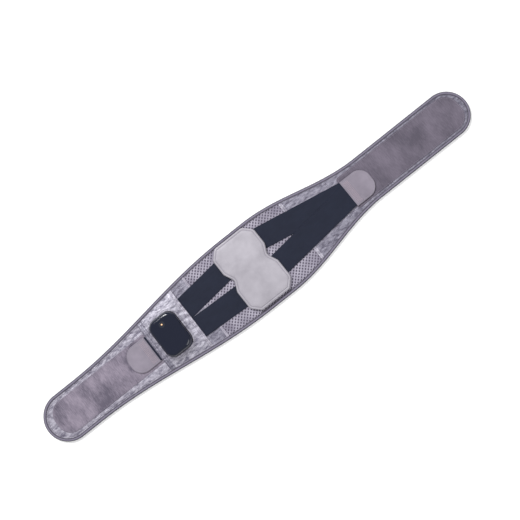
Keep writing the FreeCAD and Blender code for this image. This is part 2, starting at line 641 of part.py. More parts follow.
def controller():
    base, cover, screws = housing()
    cover = cover.cut(cylinder(KEY_X, KEY_Y, Z_ROOF - 3, Z_CONTROLLER_TOP + 1, KEY_RADIUS + KEY_GAP))

    board_top = Z_ROOF - BOARD_TO_ROOF
    board_low = board_top - BOARD_THICKNESS
    board = slab(CONTROLLER_X - BOARD_HALF, CONTROLLER_X + BOARD_HALF, *BOARD_ENDS, board_low, board_top, 2.0)
    stem_y = KEY_Y - STEM_OFFSET
    switch_top = board_top + SWITCH_HEIGHT
    half_x, half_y = SWITCH_HALF
    board = board.fuse(box(KEY_X - half_x, KEY_X + half_x, stem_y - half_y, stem_y + half_y,
                           board_top, switch_top))

    port_z = board_low - PORT_HEIGHT
    port_y = -CONTROLLER_HEIGHT / 2 + PORT_INSET
    port, throat = usb_port(port_y, port_z)
    mouth = box(CONTROLLER_X - MOUTH_HALF, CONTROLLER_X + MOUTH_HALF, port_y - 3, port_y,
                port_z - MOUTH_MARGIN, port_z + PORT_HEIGHT + MOUTH_MARGIN)
    cover = cover.cut(port).cut(mouth)
    base = base.cut(mouth).cut(box(CONTROLLER_X - PORT_HALF, CONTROLLER_X + PORT_HALF,
                                   port_y, port_y + PORT_DEPTH, port_z, port_z + PORT_HEIGHT))

    cell_low = Z_FLOOR + CELL_GAP
    cell = slab(CONTROLLER_X - BOARD_HALF, CONTROLLER_X + BOARD_HALF, *CELL_ENDS,
                cell_low, cell_low + CELL_THICKNESS, 2.5)
    pins = []
    for i in (-1, 0, 1):
        pin = cylinder(CONTROLLER_X + PIN_PITCH * i, PIN_Y, Z_CONTROLLER, Z_FLOOR + 1.0, PIN_RADIUS)
        pins.append(pin)
        base = base.cut(pin)

    key_low = Z_ROOF - KEY_RIM
    key_top = Z_CONTROLLER_TOP - KEY_RECESS
    key = cylinder(KEY_X, KEY_Y, key_low, key_top, KEY_RADIUS)
    key = key.fuse(cylinder(KEY_X, KEY_Y, key_low, Z_ROOF - 0.2, KEY_RADIUS + KEY_RIM))
    key = key.fuse(cylinder(KEY_X, stem_y, switch_top + KEY_TRAVEL + 0.2, Z_ROOF - 1.0, STEM_RADIUS))
    guide = cylinder(KEY_X, KEY_Y, key_low, key_top, STEM_RADIUS)
    nodes["controller_base"] = base
    nodes["controller_cover"] = cover
    nodes["housing_screws"] = Part.makeCompound(screws)
    nodes["circuit_board"] = board
    nodes["battery_cell"] = cell
    nodes["usb_socket"] = port.cut(throat)
    nodes["contact_pins"] = Part.makeCompound(pins)
    nodes["power_key"] = key.cut(guide)
    nodes["light_guide"] = guide


belt_layers()
loop_panels()
closing_hook()
straps()
pull_tabs()
back_pad()
stays()
heater()
pocket()
controller()

os.makedirs("parts", exist_ok=True)
for node_name, shape in nodes.items():
    if len(shape.Solids) == 1:
        shape = shape.Solids[0]
    elif shape.Solids:
        shape = Part.makeCompound(shape.Solids)
    shape.exportStep("parts/%s.step" % node_name)
    print("%-24s solids %d  volume %9.1f  valid %s" % (
        node_name, len(shape.Solids), shape.Volume, shape.isValid()))
print(len(nodes), "nodes")
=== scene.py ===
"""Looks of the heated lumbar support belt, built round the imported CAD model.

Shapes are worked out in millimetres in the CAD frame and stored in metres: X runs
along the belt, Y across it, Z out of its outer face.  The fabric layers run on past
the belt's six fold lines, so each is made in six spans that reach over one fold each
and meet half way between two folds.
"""
import math

import bpy
import numpy as np
from mathutils import Matrix, Vector


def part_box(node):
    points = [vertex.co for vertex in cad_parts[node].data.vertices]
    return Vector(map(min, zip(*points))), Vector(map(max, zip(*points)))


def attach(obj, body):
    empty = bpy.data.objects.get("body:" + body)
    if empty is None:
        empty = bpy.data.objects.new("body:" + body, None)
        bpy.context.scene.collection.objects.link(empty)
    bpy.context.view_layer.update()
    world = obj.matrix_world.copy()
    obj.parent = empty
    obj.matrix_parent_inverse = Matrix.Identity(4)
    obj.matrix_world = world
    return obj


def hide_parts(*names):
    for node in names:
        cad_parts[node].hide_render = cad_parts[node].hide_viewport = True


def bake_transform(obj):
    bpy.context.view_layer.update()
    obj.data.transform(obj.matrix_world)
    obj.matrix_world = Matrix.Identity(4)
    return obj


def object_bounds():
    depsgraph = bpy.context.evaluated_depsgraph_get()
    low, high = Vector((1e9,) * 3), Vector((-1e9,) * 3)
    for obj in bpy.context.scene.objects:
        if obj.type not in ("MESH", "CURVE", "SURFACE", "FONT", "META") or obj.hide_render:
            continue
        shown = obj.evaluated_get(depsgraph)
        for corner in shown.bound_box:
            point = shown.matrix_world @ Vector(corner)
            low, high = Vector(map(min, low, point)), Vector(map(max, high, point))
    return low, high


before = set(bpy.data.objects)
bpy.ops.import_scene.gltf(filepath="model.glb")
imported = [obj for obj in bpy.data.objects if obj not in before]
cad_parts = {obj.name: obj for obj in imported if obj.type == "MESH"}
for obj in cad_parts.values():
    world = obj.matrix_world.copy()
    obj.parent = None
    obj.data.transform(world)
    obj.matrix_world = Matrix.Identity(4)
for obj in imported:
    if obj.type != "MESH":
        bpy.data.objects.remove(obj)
cad_low, cad_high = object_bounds()
MM = 0.001


def extent(node):
    """A CAD node's box in millimetres: x0, x1, y0, y1, z0, z1."""
    low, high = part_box(node)
    return [value / MM for pair in zip(low, high) for value in pair]


# ---- the belt's outline, which follows the same rule as the CAD's ----
HALF_LENGTH = cad_high.x / MM
WAIST_HALF = 89.5
LEFT_HALF = 52.0
RIGHT_HALF = 49.7
WAIST_LEVEL = 30.0
LEFT_STRAIGHT = 100.0
RIGHT_STRAIGHT = 255.0
LEFT_TIP = -HALF_LENGTH + LEFT_HALF         # centres of the two rounded ends
RIGHT_TIP = HALF_LENGTH - RIGHT_HALF

# ---- layers ----
Z_CORE = extent("back_core")[5]
Z_PANEL = extent("mesh_panel")[5]
Z_BINDING = extent("back_binding")[5]
Z_LOOP = extent("left_end_loop")[5]
BINDING_WIDTH = 7.0
BINDING_WEB = 1.2
LIP = 0.8
STRAP = 1.2                                 # thickness of an elastic strap

# ---- fold lines, and how far each side of them the cloth bends ----
BODIES = ["left_end", "left_front", "left_side", "back", "right_side", "right_front", "right_end"]
FOLDS = [(extent(a + "_binding")[1] + extent(b + "_binding")[0]) / 2 for a, b in zip(BODIES, BODIES[1:])]
BEND_REACH = [17.0, 6.5, 19.0, 19.0, 14.0, 18.0]
CUTS = [-HALF_LENGTH] + [(a + b) / 2 for a, b in zip(FOLDS, FOLDS[1:])] + [HALF_LENGTH]
LEFT_END, LEFT_FRONT, LEFT_SIDE, RIGHT_SIDE, RIGHT_FRONT, RIGHT_END = range(6)
SPANS = ["left_end", "left_front", "left_side", "right_side", "right_front", "right_end"]


# ---- small sums ----
def smooth(share):
    share = np.clip(share, 0, 1)
    return share * share * (3 - 2 * share)


def ramp(x, x0, x1, a, b):
    """a before x0, b after x1 and a smooth change between them."""
    return a + (b - a) * smooth((np.asarray(x, float) - x0) / (x1 - x0))


def ripple(x, y, length, seed):
    """Smooth relief between about -1 and 1 with waves of about that length."""
    k = 2 * math.pi / length
    a = np.sin(k * (x + 0.37 * y) + seed) * np.cos(k * (0.83 * y - 0.21 * x) + 2.1 * seed)
    b = np.sin(k * (0.61 * x - 0.94 * y) * 1.37 + 1.7 * seed)
    c = np.cos(k * (1.31 * y + 0.52 * x) * 1.93 + 0.6 * seed)
    return 0.5 * a + 0.32 * b + 0.18 * c


def rolled(inside, radius):
    """Share of the full height at a distance inside an edge that is rounded to that radius."""
    return np.sqrt(np.clip(1 - (1 - np.clip(inside, 0, radius) / radius) ** 2, 0, 1))


def half_width(x):
    """Half the belt's width: level at the waist, then a cosine down to each wing."""
    x = np.asarray(x, float)
    wing = np.where(x < 0, LEFT_HALF, RIGHT_HALF)
    taper = HALF_LENGTH - np.where(x < 0, LEFT_STRAIGHT, RIGHT_STRAIGHT) - WAIST_LEVEL
    share = np.clip((abs(x) - WAIST_LEVEL) / taper, 0, 1)
    return wing + (WAIST_HALF - wing) * (1 + np.cos(np.pi * share)) / 2


def edge_slope(x):
    return half_width(x + 0.5) - half_width(x - 0.5)


def inset_half(x, inset):
    """Half the width of the outline when it is moved inwards all round."""
    x = np.asarray(x, float)
    level = half_width(x) - inset * np.hypot(1, edge_slope(x))
    left = np.sqrt(np.maximum((LEFT_HALF - inset) ** 2 - (x - LEFT_TIP) ** 2, 0))
    right = np.sqrt(np.maximum((RIGHT_HALF - inset) ** 2 - (x - RIGHT_TIP) ** 2, 0))
    return np.where(x < LEFT_TIP, left, np.where(x > RIGHT_TIP, right, level))


def corner_cut(into, radius):
    """How much a rounded corner takes off a side, at a distance into the rounding."""
    return radius - np.sqrt(np.maximum(radius ** 2 - np.maximum(into, 0) ** 2, 0))


def both_sides(half):
    """Both edges of a piece that reaches as far to each side of the belt's middle line."""
    return (lambda x: -half(x)), half


def inset_sides(inset):
    return both_sides(lambda x: inset_half(x, inset))


def depth_in(x, y):
    """Distance from a point of the belt to the belt's edge."""
    level = (half_width(x) - abs(y)) / np.hypot(1, edge_slope(x))
    left = LEFT_HALF - np.hypot(x - LEFT_TIP, y)
    right = RIGHT_HALF - np.hypot(x - RIGHT_TIP, y)
    return np.where(x < LEFT_TIP, left, np.where(x > RIGHT_TIP, right, level))


TIP_NEAR = 3.0              # an end this near to the belt's tip gets small steps
TIP_STRETCH = 24.0          # along this much of it
FIRST_STEP = 0.15
STEP_GROWTH = 1.35
TIP_STEPS = int(math.log(TIP_STRETCH / FIRST_STEP) / math.log(STEP_GROWTH)) + 1


def steps_between(x0, x1, step):
    """Even steps, with smaller ones near a rounded tip of the belt."""
    xs = np.linspace(x0, x1, max(2, int(round((x1 - x0) / step)) + 1))
    for end, tip, inwards in ((x0, -HALF_LENGTH, 1), (x1, HALF_LENGTH, -1)):
        if abs(end - tip) > TIP_NEAR:
            continue
        growing = FIRST_STEP * STEP_GROWTH ** np.arange(TIP_STEPS)
        near = np.concatenate([[end], end + inwards * growing])
        xs = np.union1d(xs[abs(xs - end) > TIP_STRETCH], near)
    return xs


# ---- looks ----
def lin(red, green, blue):
    """A screen colour, 0 to 255, as the renderer's linear one."""
    shares = [value / 255 for value in (red, green, blue)]
    return tuple(s / 12.92 if s <= 0.04045 else ((s + 0.055) / 1.055) ** 2.4 for s in shares) + (1.0,)


HAIR_TURN = 0.6             # direction in which the loop pile is brushed


class Look:
    """A procedural material.  Patterns are set out in millimetres on the piece at rest."""

    def __init__(self, name, colour, roughness, on_cad=False, **settings):
        self.material = bpy.data.materials.new(name)
        self.material.use_nodes = True
        self.tree = self.material.node_tree
        self.shader = self.tree.nodes["Principled BSDF"]
        self.shader.inputs["Base Color"].default_value = colour
        self.shader.inputs["Roughness"].default_value = roughness
        for socket, value in settings.items():
            self.shader.inputs[socket.replace("_", " ")].default_value = value
        if on_cad:
            place = self.node("ShaderNodeTexCoord").outputs["Object"]
            scaled = self.node("ShaderNodeVectorMath", operation="SCALE")
            scaled.inputs["Scale"].default_value = 1 / MM
            self.join(place, scaled.inputs[0])
            self.place = scaled.outputs[0]
        else:
            self.place = self.node("ShaderNodeAttribute", attribute_name="rest_mm").outputs["Vector"]

    def node(self, kind, **values):
        made = self.tree.nodes.new(kind)
        for name, value in values.items():
            setattr(made, name, value)
        return made

    def join(self, output, socket):
        self.tree.links.new(output, socket)

    def stretched(self, stretch, turn=0.0):
        mapping = self.node("ShaderNodeMapping")
        mapping.inputs["Scale"].default_value = stretch
        mapping.inputs["Rotation"].default_value = (0, 0, turn)
        self.join(self.place, mapping.inputs["Vector"])
        return mapping.outputs["Vector"]

    def noise(self, size, stretch=(1, 1, 1), detail=3.0, roughness=0.55, turn=0.0):
        made = self.node("ShaderNodeTexNoise")
        made.inputs["Scale"].default_value = 1 / size
        made.inputs["Detail"].default_value = detail
        made.inputs["Roughness"].default_value = roughness
        self.join(self.stretched(stretch, turn), made.inputs["Vector"])
        return made.outputs["Fac"]

    def bands(self, period, direction="X", distortion=0.0):
        made = self.node("ShaderNodeTexWave", bands_direction=direction)
        made.inputs["Scale"].default_value = math.pi / 10 / period
        made.inputs["Distortion"].default_value = distortion
        made.inputs["Detail"].default_value = 2.0
        made.inputs["Detail Scale"].default_value = 1.5
        self.join(self.stretched((1, 1, 1)), made.inputs["Vector"])
        return made.outputs["Fac"]

    def cells(self, size, feature="F1"):
        made = self.node("ShaderNodeTexVoronoi", feature=feature)
        made.inputs["Scale"].default_value = 1 / size
        self.join(self.place, made.inputs["Vector"])
        return made.outputs["Distance"]

    def combined(self, first, second, operation="ADD"):
        made = self.node("ShaderNodeMath", operation=operation)
        self.join(first, made.inputs[0])
        self.join(second, made.inputs[1])
        return made.outputs[0]

    def scaled(self, value, factor):
        made = self.node("ShaderNodeMath", operation="MULTIPLY")
        self.join(value, made.inputs[0])
        made.inputs[1].default_value = factor
        return made.outputs[0]

    def tint(self, value, dark, light, low=0.3, high=0.7):
        """The base colour runs from dark to light as value goes from low to high."""
        colours = self.node("ShaderNodeValToRGB")
        colours.color_ramp.elements[0].position = low
        colours.color_ramp.elements[0].color = dark
        colours.color_ramp.elements[1].position = high
        colours.color_ramp.elements[1].color = light
        self.join(value, colours.inputs["Fac"])
        self.join(colours.outputs["Color"], self.shader.inputs["Base Color"])
        return self

    def gloss(self, value, low, high):
        """Roughness between low and high as value goes from 0.3 to 0.7."""
        made = self.node("ShaderNodeMapRange")
        made.inputs["From Min"].default_value = 0.3
        made.inputs["From Max"].default_value = 0.7
        made.inputs["To Min"].default_value = low
        made.inputs["To Max"].default_value = high
        self.join(value, made.inputs["Value"])
        self.join(made.outputs["Result"], self.shader.inputs["Roughness"])
        return self

    def relief(self, value, depth, strength=1.0):
        """Bump of that depth in millimetres."""
        bump = self.node("ShaderNodeBump")
        bump.inputs["Distance"].default_value = depth * MM
        bump.inputs["Strength"].default_value = strength
        self.join(value, bump.inputs["Height"])
        normal = self.shader.inputs["Normal"]
        if normal.is_linked:
            self.join(normal.links[0].from_socket, bump.inputs["Normal"])
        self.join(bump.outputs["Normal"], normal)
        return self


def weave(look, period, depth):
    """Crossing threads: bands along the belt times bands across it."""
    threads = look.combined(look.bands(period, "X"), look.bands(period, "Y"), "MULTIPLY")
    return look.relief(threads, depth, 0.6)


def make_satin(name, dark, light):
    look = Look(name, light, 0.34, Metallic=0.2, Specular_IOR_Level=0.6, Sheen_Weight=0.2)
    creases = look.noise(7.5, (0.6, 1.4, 1), detail=5.0, roughness=0.68)
    # The tint follows the crease relief: painted shade in the hollows and painted sheen on the ridges.
    look.tint(creases, dark, light, 0.36, 0.62)
    look.relief(creases, 1.6, 0.9)
    look.relief(look.noise(2.4, (1.6, 0.7, 1), detail=3.0), 0.25, 0.6)
    weave(look, 0.55, 0.05)
    return look


def make_binding():
    look = Look("binding_tape", lin(116, 110, 130), 0.7, Sheen_Weight=0.35)
    # Painted shade: the section's last column darkens the binding where it rolls over the edge, at its inner
    # edge and in the stitch groove; random mottle is mixed in.
    painted_shade = look.node("ShaderNodeAttribute", attribute_name="painted_shade").outputs["Fac"]
    shade_and_mottle = look.combined(look.scaled(painted_shade, 0.75), look.scaled(look.noise(9.0, detail=4.0), 0.4))
    look.tint(shade_and_mottle, lin(44, 41, 55), lin(124, 118, 137), 0.25, 0.85)
    look.relief(look.bands(0.9, "DIAGONAL"), 0.12, 0.8)
    look.relief(look.noise(1.1), 0.08, 0.6)
    return look


def make_loop(name, dark, light, wave):
    """Brushed loop pile: soft patches where the nap lies another way, and fine hairs."""
    look = Look(name, light, 0.9, Sheen_Weight=0.35, Sheen_Roughness=0.5)
    nap = look.noise(wave, (1, 0.6, 1), detail=2.0)
    hairs = look.noise(1.5, (1.0, 0.16, 1), detail=4.0, roughness=0.7, turn=HAIR_TURN)
    brushed = look.combined(look.scaled(nap, 0.55), look.scaled(hairs, 0.45))
    look.tint(brushed, dark, light, 0.38, 0.62)
    look.relief(look.noise(0.8, detail=4.0, roughness=0.8), 0.35, 0.8)
    look.relief(hairs, 0.55, 0.8)
    return look


def make_elastic():
    look = Look("elastic_webbing", lin(26, 30, 46), 0.7, Specular_IOR_Level=0.35)
    look.tint(look.noise(22.0, (1, 2, 1)), lin(14, 21, 42), lin(20, 27, 48))
    look.relief(look.bands(1.5, "X"), 0.22, 0.7)
    look.relief(look.bands(0.9, "Y"), 0.14, 0.6)
    return look


def make_leatherette(name, dark, light, grain=1.1):
    look = Look(name, light, 0.48, Sheen_Weight=0.15, Specular_IOR_Level=0.5)
    look.tint(look.noise(34.0, detail=3.0), dark, light)
    look.relief(look.cells(grain, "DISTANCE_TO_EDGE"), 0.22, 0.7)
    look.relief(look.noise(5.0), 0.35, 0.5)
    return look


def make_knit():
    look = Look("mesh_knit", lin(206, 201, 214), 0.7, Sheen_Weight=0.3)
    look.tint(look.noise(26.0), lin(130, 124, 142), lin(176, 171, 186))
    look.relief(look.noise(0.7, detail=3.0), 0.2, 0.8)
    return look


def make_lining():
    look = Look("brushed_lining", lin(150, 145, 160), 0.95, Sheen_Weight=0.6)
    look.tint(look.noise(7.0, detail=6.0, roughness=0.7), lin(132, 127, 143), lin(166, 161, 175))
    look.relief(look.noise(1.3, detail=5.0, roughness=0.75), 0.5, 0.9)
    return look


def make_hole_shade():
    # A dark look for the lining's top faces: painted shade, seen through the mesh holes.
    look = Look("mesh_hole_shade", lin(64, 60, 74), 0.9)
    look.tint(look.noise(3.0), lin(80, 75, 90), lin(104, 98, 114))
    return look


def make_thread(name, colour):
    look = Look(name, colour, 0.6, Sheen_Weight=0.3)
    return look.relief(look.bands(0.5, "DIAGONAL"), 0.05, 0.8)


def make_rubber():
    look = Look("lead_jacket", lin(38, 38, 44), 0.5)
    return look.relief(look.noise(0.8), 0.05, 0.6)


def make_hook():
    look = Look("hook_tape", lin(92, 88, 104), 0.6, on_cad=True)
    # Lighter on the hook tops and darker between them, as the relief runs: painted shade between the hooks.
    look.tint(look.cells(1.6), lin(120, 116, 132), lin(74, 70, 86), 0.1, 0.6)
    look.relief(look.cells(1.6), -0.8, 1.0)
    return look


LOOKS = {
    "satin": make_satin("belt_satin", lin(84, 80, 98), lin(152, 149, 165)),
    # The next two satins are brighter copies of the belt satin: painted light for the left wing and the
    # pocket, which face the key light; the first also dresses the right seam and the pocket's edge tape.
    "lit_satin": make_satin("lit_satin", lin(106, 101, 120), lin(188, 184, 198)),
    "lit_pocket_satin": make_satin("lit_pocket_satin", lin(94, 90, 110), lin(192, 189, 202)),
    "binding": make_binding(),
    "left_loop": make_loop("left_loop_nap", lin(92, 86, 102), lin(150, 140, 156), 26.0),
    "right_loop": make_loop("right_loop_nap", lin(84, 78, 92), lin(116, 108, 123), 40.0),
    "elastic": make_elastic(),
    "pad": make_leatherette("pad_leatherette", lin(158, 154, 163), lin(178, 174, 183)),
    "tab": make_leatherette("tab_leatherette", lin(125, 118, 131), lin(144, 136, 150)),
    "knit": make_knit(),
    "lining": make_lining(),
    "hole_shade": make_hole_shade(),
    "dark_thread": make_thread("dark_thread", lin(58, 53, 70)),
    "grey_thread": make_thread("grey_thread", lin(150, 144, 160)),
    "pale_thread": make_thread("pale_thread", lin(226, 223, 230)),
    "rose_thread": make_thread("rose_thread", lin(196, 172, 182)),
    "lead": make_rubber(),
}


# ---- meshes ----
def mesh_object(name, points, faces, look, sharp=40, second=None, second_faces=()):
    """A new piece from millimetre points; its rest places are kept for the patterns."""
    points = np.asarray(points, float)
    mesh = bpy.data.meshes.new(name)
    mesh.from_pydata((points * MM).tolist(), [], faces)
    mesh.materials.append(LOOKS[look].material)
    if second is not None:
        mesh.materials.append(LOOKS[second].material)
        slots = np.zeros(len(mesh.polygons), np.int32)
        slots[list(second_faces)] = 1
        mesh.polygons.foreach_set("material_index", slots)
    mesh.polygons.foreach_set("use_smooth", np.ones(len(mesh.polygons), bool))
    mesh.set_sharp_from_angle(angle=math.radians(sharp))
    rest = mesh.attributes.new("rest_mm", "FLOAT_VECTOR", "POINT")
    rest.data.foreach_set("vector", points.astype(np.float32).ravel())
    mesh.update()
    piece = bpy.data.objects.new(name, mesh)
    bpy.context.scene.collection.objects.link(piece)
    return piece


def quads(rows, columns, start=0, closed=False, flip=False):
    """Faces of a grid of points that is stored row by row."""
    faces = []
    for i in range(rows - 1):
        for j in range(columns if closed else columns - 1):
            a = start + i * columns + j
            b = start + i * columns + (j + 1) % columns
            face = (a, a + columns, b + columns, b)
            faces.append(face[::-1] if flip else face)
    return faces


def sheet_rows(xs, low, high, edges, across):
    """Across each x: columns at set distances from both edges, and even ones between."""
    edges = np.asarray(edges, float)[:, None]
    low, high = low(xs), high(xs)
    room = np.maximum(high - low, 1e-3)
    fit = np.minimum(1, 0.4 * room / max(edges.max(), 1e-6))
    shares = np.linspace(0, 1, across + 1)[1:-1, None]
    near, far = low + edges[-1] * fit, high - edges[-1] * fit
    rows = np.concatenate([low + edges * fit, near + (far - near) * shares, (high - edges * fit)[::-1]])
    return rows.T


def slab(name, look, xs, sides, bottom, top, edges=(0, 0.5, 1.5), across=24, sharp=40, second=None):
    """A closed sheet between two sides and two heights, each a function of place."""
    ys = sheet_rows(xs, *sides, edges, across)
    rows, columns = ys.shape
    grid_x = np.repeat(xs[:, None], columns, 1)
    upper = np.stack([grid_x, ys, top(grid_x, ys) + 0 * ys], -1).reshape(-1, 3)
    lower = np.stack([grid_x, ys, bottom(grid_x, ys) + 0 * ys], -1).reshape(-1, 3)
    count = rows * columns
    faces = quads(rows, columns)
    top_faces = range(len(faces))
    faces += quads(rows, columns, count, flip=True)
    grid = np.arange(count).reshape(ys.shape)
    ring = np.concatenate([grid[0, :-1], grid[:-1, -1], grid[-1, :0:-1], grid[:0:-1, 0]]).tolist()
    faces += [(a, b, b + count, a + count) for a, b in zip(ring, ring[1:] + ring[:1])]
    return mesh_object(name, np.concatenate([upper, lower]), faces, look, sharp, second,
                       top_faces if second else ())


def stack(name, look, rings, sharp=40):
    """A closed solid through rings of points, capped at the first and the last one."""
    count = len(rings[0])
    points = np.concatenate(rings)
    faces = quads(len(rings), count, closed=True, flip=True)
    faces.append(tuple(range(count))[::-1])
    faces.append(tuple(range(len(points) - count, len(points))))
    return mesh_object(name, points, faces, look, sharp)


def sweep(paths, profile):
    """Points and faces of a closed section, (inset, z) pairs, carried along edge paths."""
    points, faces = [], []
    for path in paths:
        start = sum(len(p) for p in points)
        place, inward, wave = path
        section = np.array(profile)
        flat = place[:, None, :] + inward[:, None, :] * section[None, :, 0, None]
        height = section[None, :, 1] + section[None, :, 2] * wave[:, None]
        points.append(np.concatenate([flat, height[..., None]], -1).reshape(-1, 3))
        count = len(profile)
        faces += quads(len(place), count, start, closed=True)
        last = start + (len(place) - 1) * count
        faces.append(tuple(range(start, start + count)))
        faces.append(tuple(range(last, last + count))[::-1])
    return np.concatenate(points), faces


def rounded_outline(corners, radii, step=2.5):
    """An anticlockwise outline through corner points, each rounded to its radius."""
    corners = [np.array(c, float) for c in corners]
    points = []
    for i, corner in enumerate(corners):
        before = corners[i - 1] - corner
        after = corners[(i + 1) % len(corners)] - corner
        before /= np.hypot(*before)
        after /= np.hypot(*after)
        half = math.acos(np.clip(before @ after, -1, 1)) / 2
        middle = (before + after) / np.hypot(*(before + after))
        centre = corner + middle * (radii[i] / math.sin(half))
        first = corner + before * (radii[i] / math.tan(half)) - centre
        turn = math.pi - 2 * half
        if before[0] * after[1] - before[1] * after[0] > 0:
            turn = -turn
        parts = max(3, int(abs(turn) * radii[i] / 1.2))
        for k in range(parts + 1):
            angle = turn * k / parts
            points.append(centre + np.array([
                first[0] * math.cos(angle) - first[1] * math.sin(angle),
                first[0] * math.sin(angle) + first[1] * math.cos(angle)]))
    dense = []
    for a, b in zip(points, points[1:] + points[:1]):
        parts = max(1, int(np.hypot(*(b - a)) / step))
        dense += [a + (b - a) * k / parts for k in range(parts)]
    return np.array(dense)


def rectangle(x0, x1, y0, y1, radii, step=2.5):
    return rounded_outline([(x0, y0), (x1, y0), (x1, y1), (x0, y1)], radii, step)


def inward(outline, inset):
    """An anticlockwise outline moved inwards."""
    along = np.roll(outline, -1, 0) - np.roll(outline, 1, 0)
    along /= np.hypot(along[:, 0], along[:, 1])[:, None]
    return outline + np.stack([-along[:, 1], along[:, 0]], -1) * inset


def at_height(outline, z):
    z = np.broadcast_to(z, len(outline))
    return np.concatenate([outline, np.asarray(z, float)[:, None]], 1)


# ---- stitches ----
def closed_row(outline, z):
    """A row of points that comes back to its start."""
    return at_height(np.concatenate([outline, outline[:1]]), z)


STITCH_RING = 6
BEAD = (                    # place along a stitch, its size there
    (-0.5, 0.3), (-0.34, 0.9), (0.0, 1.0), (0.34, 0.9), (0.5, 0.3))


# Each kind of stitch: from one to the next, its length, its thread's radius.
BINDING_STITCH = (3.6, 2.7, 0.34)
SEAM_STITCH = (3.0, 2.2, 0.28)
LOOP_STITCH = (3.2, 2.3, 0.26)
PAD_STITCH = (3.4, 2.5, 0.3)
HEM_STITCH = (2.6, 2.1, 0.42)
TAPE_STITCH = (2.8, 2.0, 0.26)
TAB_STITCH = (3.2, 2.3, 0.28)
TAB_BAND_STITCH = (2.6, 1.7, 0.3)


def stitches(name, rows, look, kind):
    """One small rounded bead for each visible stitch along the rows of points."""
    pitch, length, radius = kind
    middles, heads = [], []
    for row in rows:
        row = np.asarray(row, float)
        pieces = np.linalg.norm(np.diff(row, axis=0), axis=1)
        run = np.concatenate([[0], np.cumsum(pieces)])
        spots = np.arange(0.5 * pitch, run[-1], pitch)
        middle = np.stack([np.interp(spots, run, row[:, k]) for k in range(3)], -1)
        ahead = np.stack([np.interp(spots + 0.4, run, row[:, k]) for k in range(3)], -1)
        back = np.stack([np.interp(spots - 0.4, run, row[:, k]) for k in range(3)], -1)
        middles.append(middle)
        heads.append(ahead - back)
    middle, head = np.concatenate(middles), np.concatenate(heads)
    head /= np.linalg.norm(head, axis=1)[:, None]
    side = np.cross(head, (0.0, 0.0, 1.0))
    side /= np.linalg.norm(side, axis=1)[:, None]
    lift = np.cross(side, head)
    points = []
    for along, size in BEAD:
        for k in range(STITCH_RING):
            turn = 2 * math.pi * k / STITCH_RING
            points.append(middle + head * along * length + side * math.cos(turn) * radius * size
                          + lift * math.sin(turn) * radius * size)
    per = len(points)
    cloud = np.stack(points, 1).reshape(-1, 3)
    faces = []
    bead = quads(len(BEAD), STITCH_RING, closed=True)
    bead += [tuple(range(STITCH_RING)), tuple(range(per - STITCH_RING, per))[::-1]]
    for i in range(len(middle)):
        faces += [tuple(i * per + v for v in face) for face in bead]
    return mesh_object(name, cloud, faces, look, 80)


def rows_in(rows, x0, x1):
    """The parts of the rows of points that lie between x0 and x1."""
    kept = []
    for row in rows:
        inside = (row[:, 0] >= x0) & (row[:, 0] <= x1)
        starts = np.flatnonzero(np.diff(np.concatenate([[0], inside.astype(int), [0]])))
        for a, b in zip(starts[::2], starts[1::2]):
            if b - a > 3:
                kept.append(row[a:b])
    return kept


def line(x0, y0, x1, y1, height):
    """A straight row of points, about 1 mm apart, laid on a height function."""
    count = int(math.hypot(x1 - x0, y1 - y0)) + 2
    xs, ys = np.linspace(x0, x1, count), np.linspace(y0, y1, count)
    return np.stack([xs, ys, height(xs, ys) + 0 * xs], -1)


def cross_rows(places, half, height):
    """Straight rows across the belt, each reaching as far as half says."""
    return [line(x, -float(half(x)), x, float(half(x)), height) for x in places]


# ---- how pieces move ----
def bend(piece, span, slot_name, *nodes):
    """The piece's place is baked into its points and it stands for the CAD nodes; span is not used."""
    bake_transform(piece)
    dress(piece, slot_name, *nodes)


def carry(piece, body, slot_name, *nodes):
    """The piece moves with one body and stands for the CAD nodes."""
    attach(piece, body)
    dress(piece, slot_name, *nodes)


def dress(piece, slot_name, *nodes):
    if nodes:
        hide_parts(*nodes)


def layer_nodes(span, layer):
    """A layer's CAD nodes in that span; the back's node goes with the left side's."""
    bodies = ["left_side", "back"] if span == LEFT_SIDE else [SPANS[span]]
    return [body + "_" + layer for body in bodies]


# ---- lining with its foam ----
PATCH = extent("closing_hook_patch")
PATCH_MARGIN = 0.5
LAYER_INSET = BINDING_WEB + 0.1     # the layers end just inside the binding's web
LAYER_END = LAYER_INSET + 0.1


def lining_bottom(x, y):
    """The skin side: tucked over the binding's lip, a little wavy inside it, flat on the hook patch."""
    under_tape = ramp(depth_in(x, y), BINDING_WIDTH, BINDING_WIDTH + 1.5, LIP + 0.05, 0.25)
    relief = 0.15 * ripple(x, y, 60.0, 0.4)
    along = (x > PATCH[0] - PATCH_MARGIN) & (x < PATCH[1] + PATCH_MARGIN)
    patch = along & (abs(y) < PATCH[3] + PATCH_MARGIN)
    return np.where(patch, PATCH[5] + 0.02, under_tape + np.where(under_tape < LIP, relief, 0))


def lining():
    for span, name in enumerate(SPANS):
        x0 = max(CUTS[span], -HALF_LENGTH + LAYER_END)
        x1 = min(CUTS[span + 1], HALF_LENGTH - LAYER_END)
        # The top faces take the dark look: painted shade under the mesh holes.
        piece = slab("lining_" + name, "lining", steps_between(x0, x1, 3.0), inset_sides(LAYER_INSET),
                     lining_bottom, lambda x, y: Z_CORE - 0.05,
                     edges=(0, 1, 5.5, 6.5, 7.5), across=26, second="hole_shade")
        bend(piece, span, "lining", *layer_nodes(span, "core"))


# ---- outer fabric ----
def fabric_top(x, y):
    """The satin lies a little loose between its seams."""
    depth = depth_in(x, y)
    loose = smooth((depth - BINDING_WIDTH) / 3.0) * (1 - smooth((depth - 30) / 12.0))
    return Z_PANEL - 0.1 + loose * 0.28 * ripple(x, y, 19.0, 1.3)


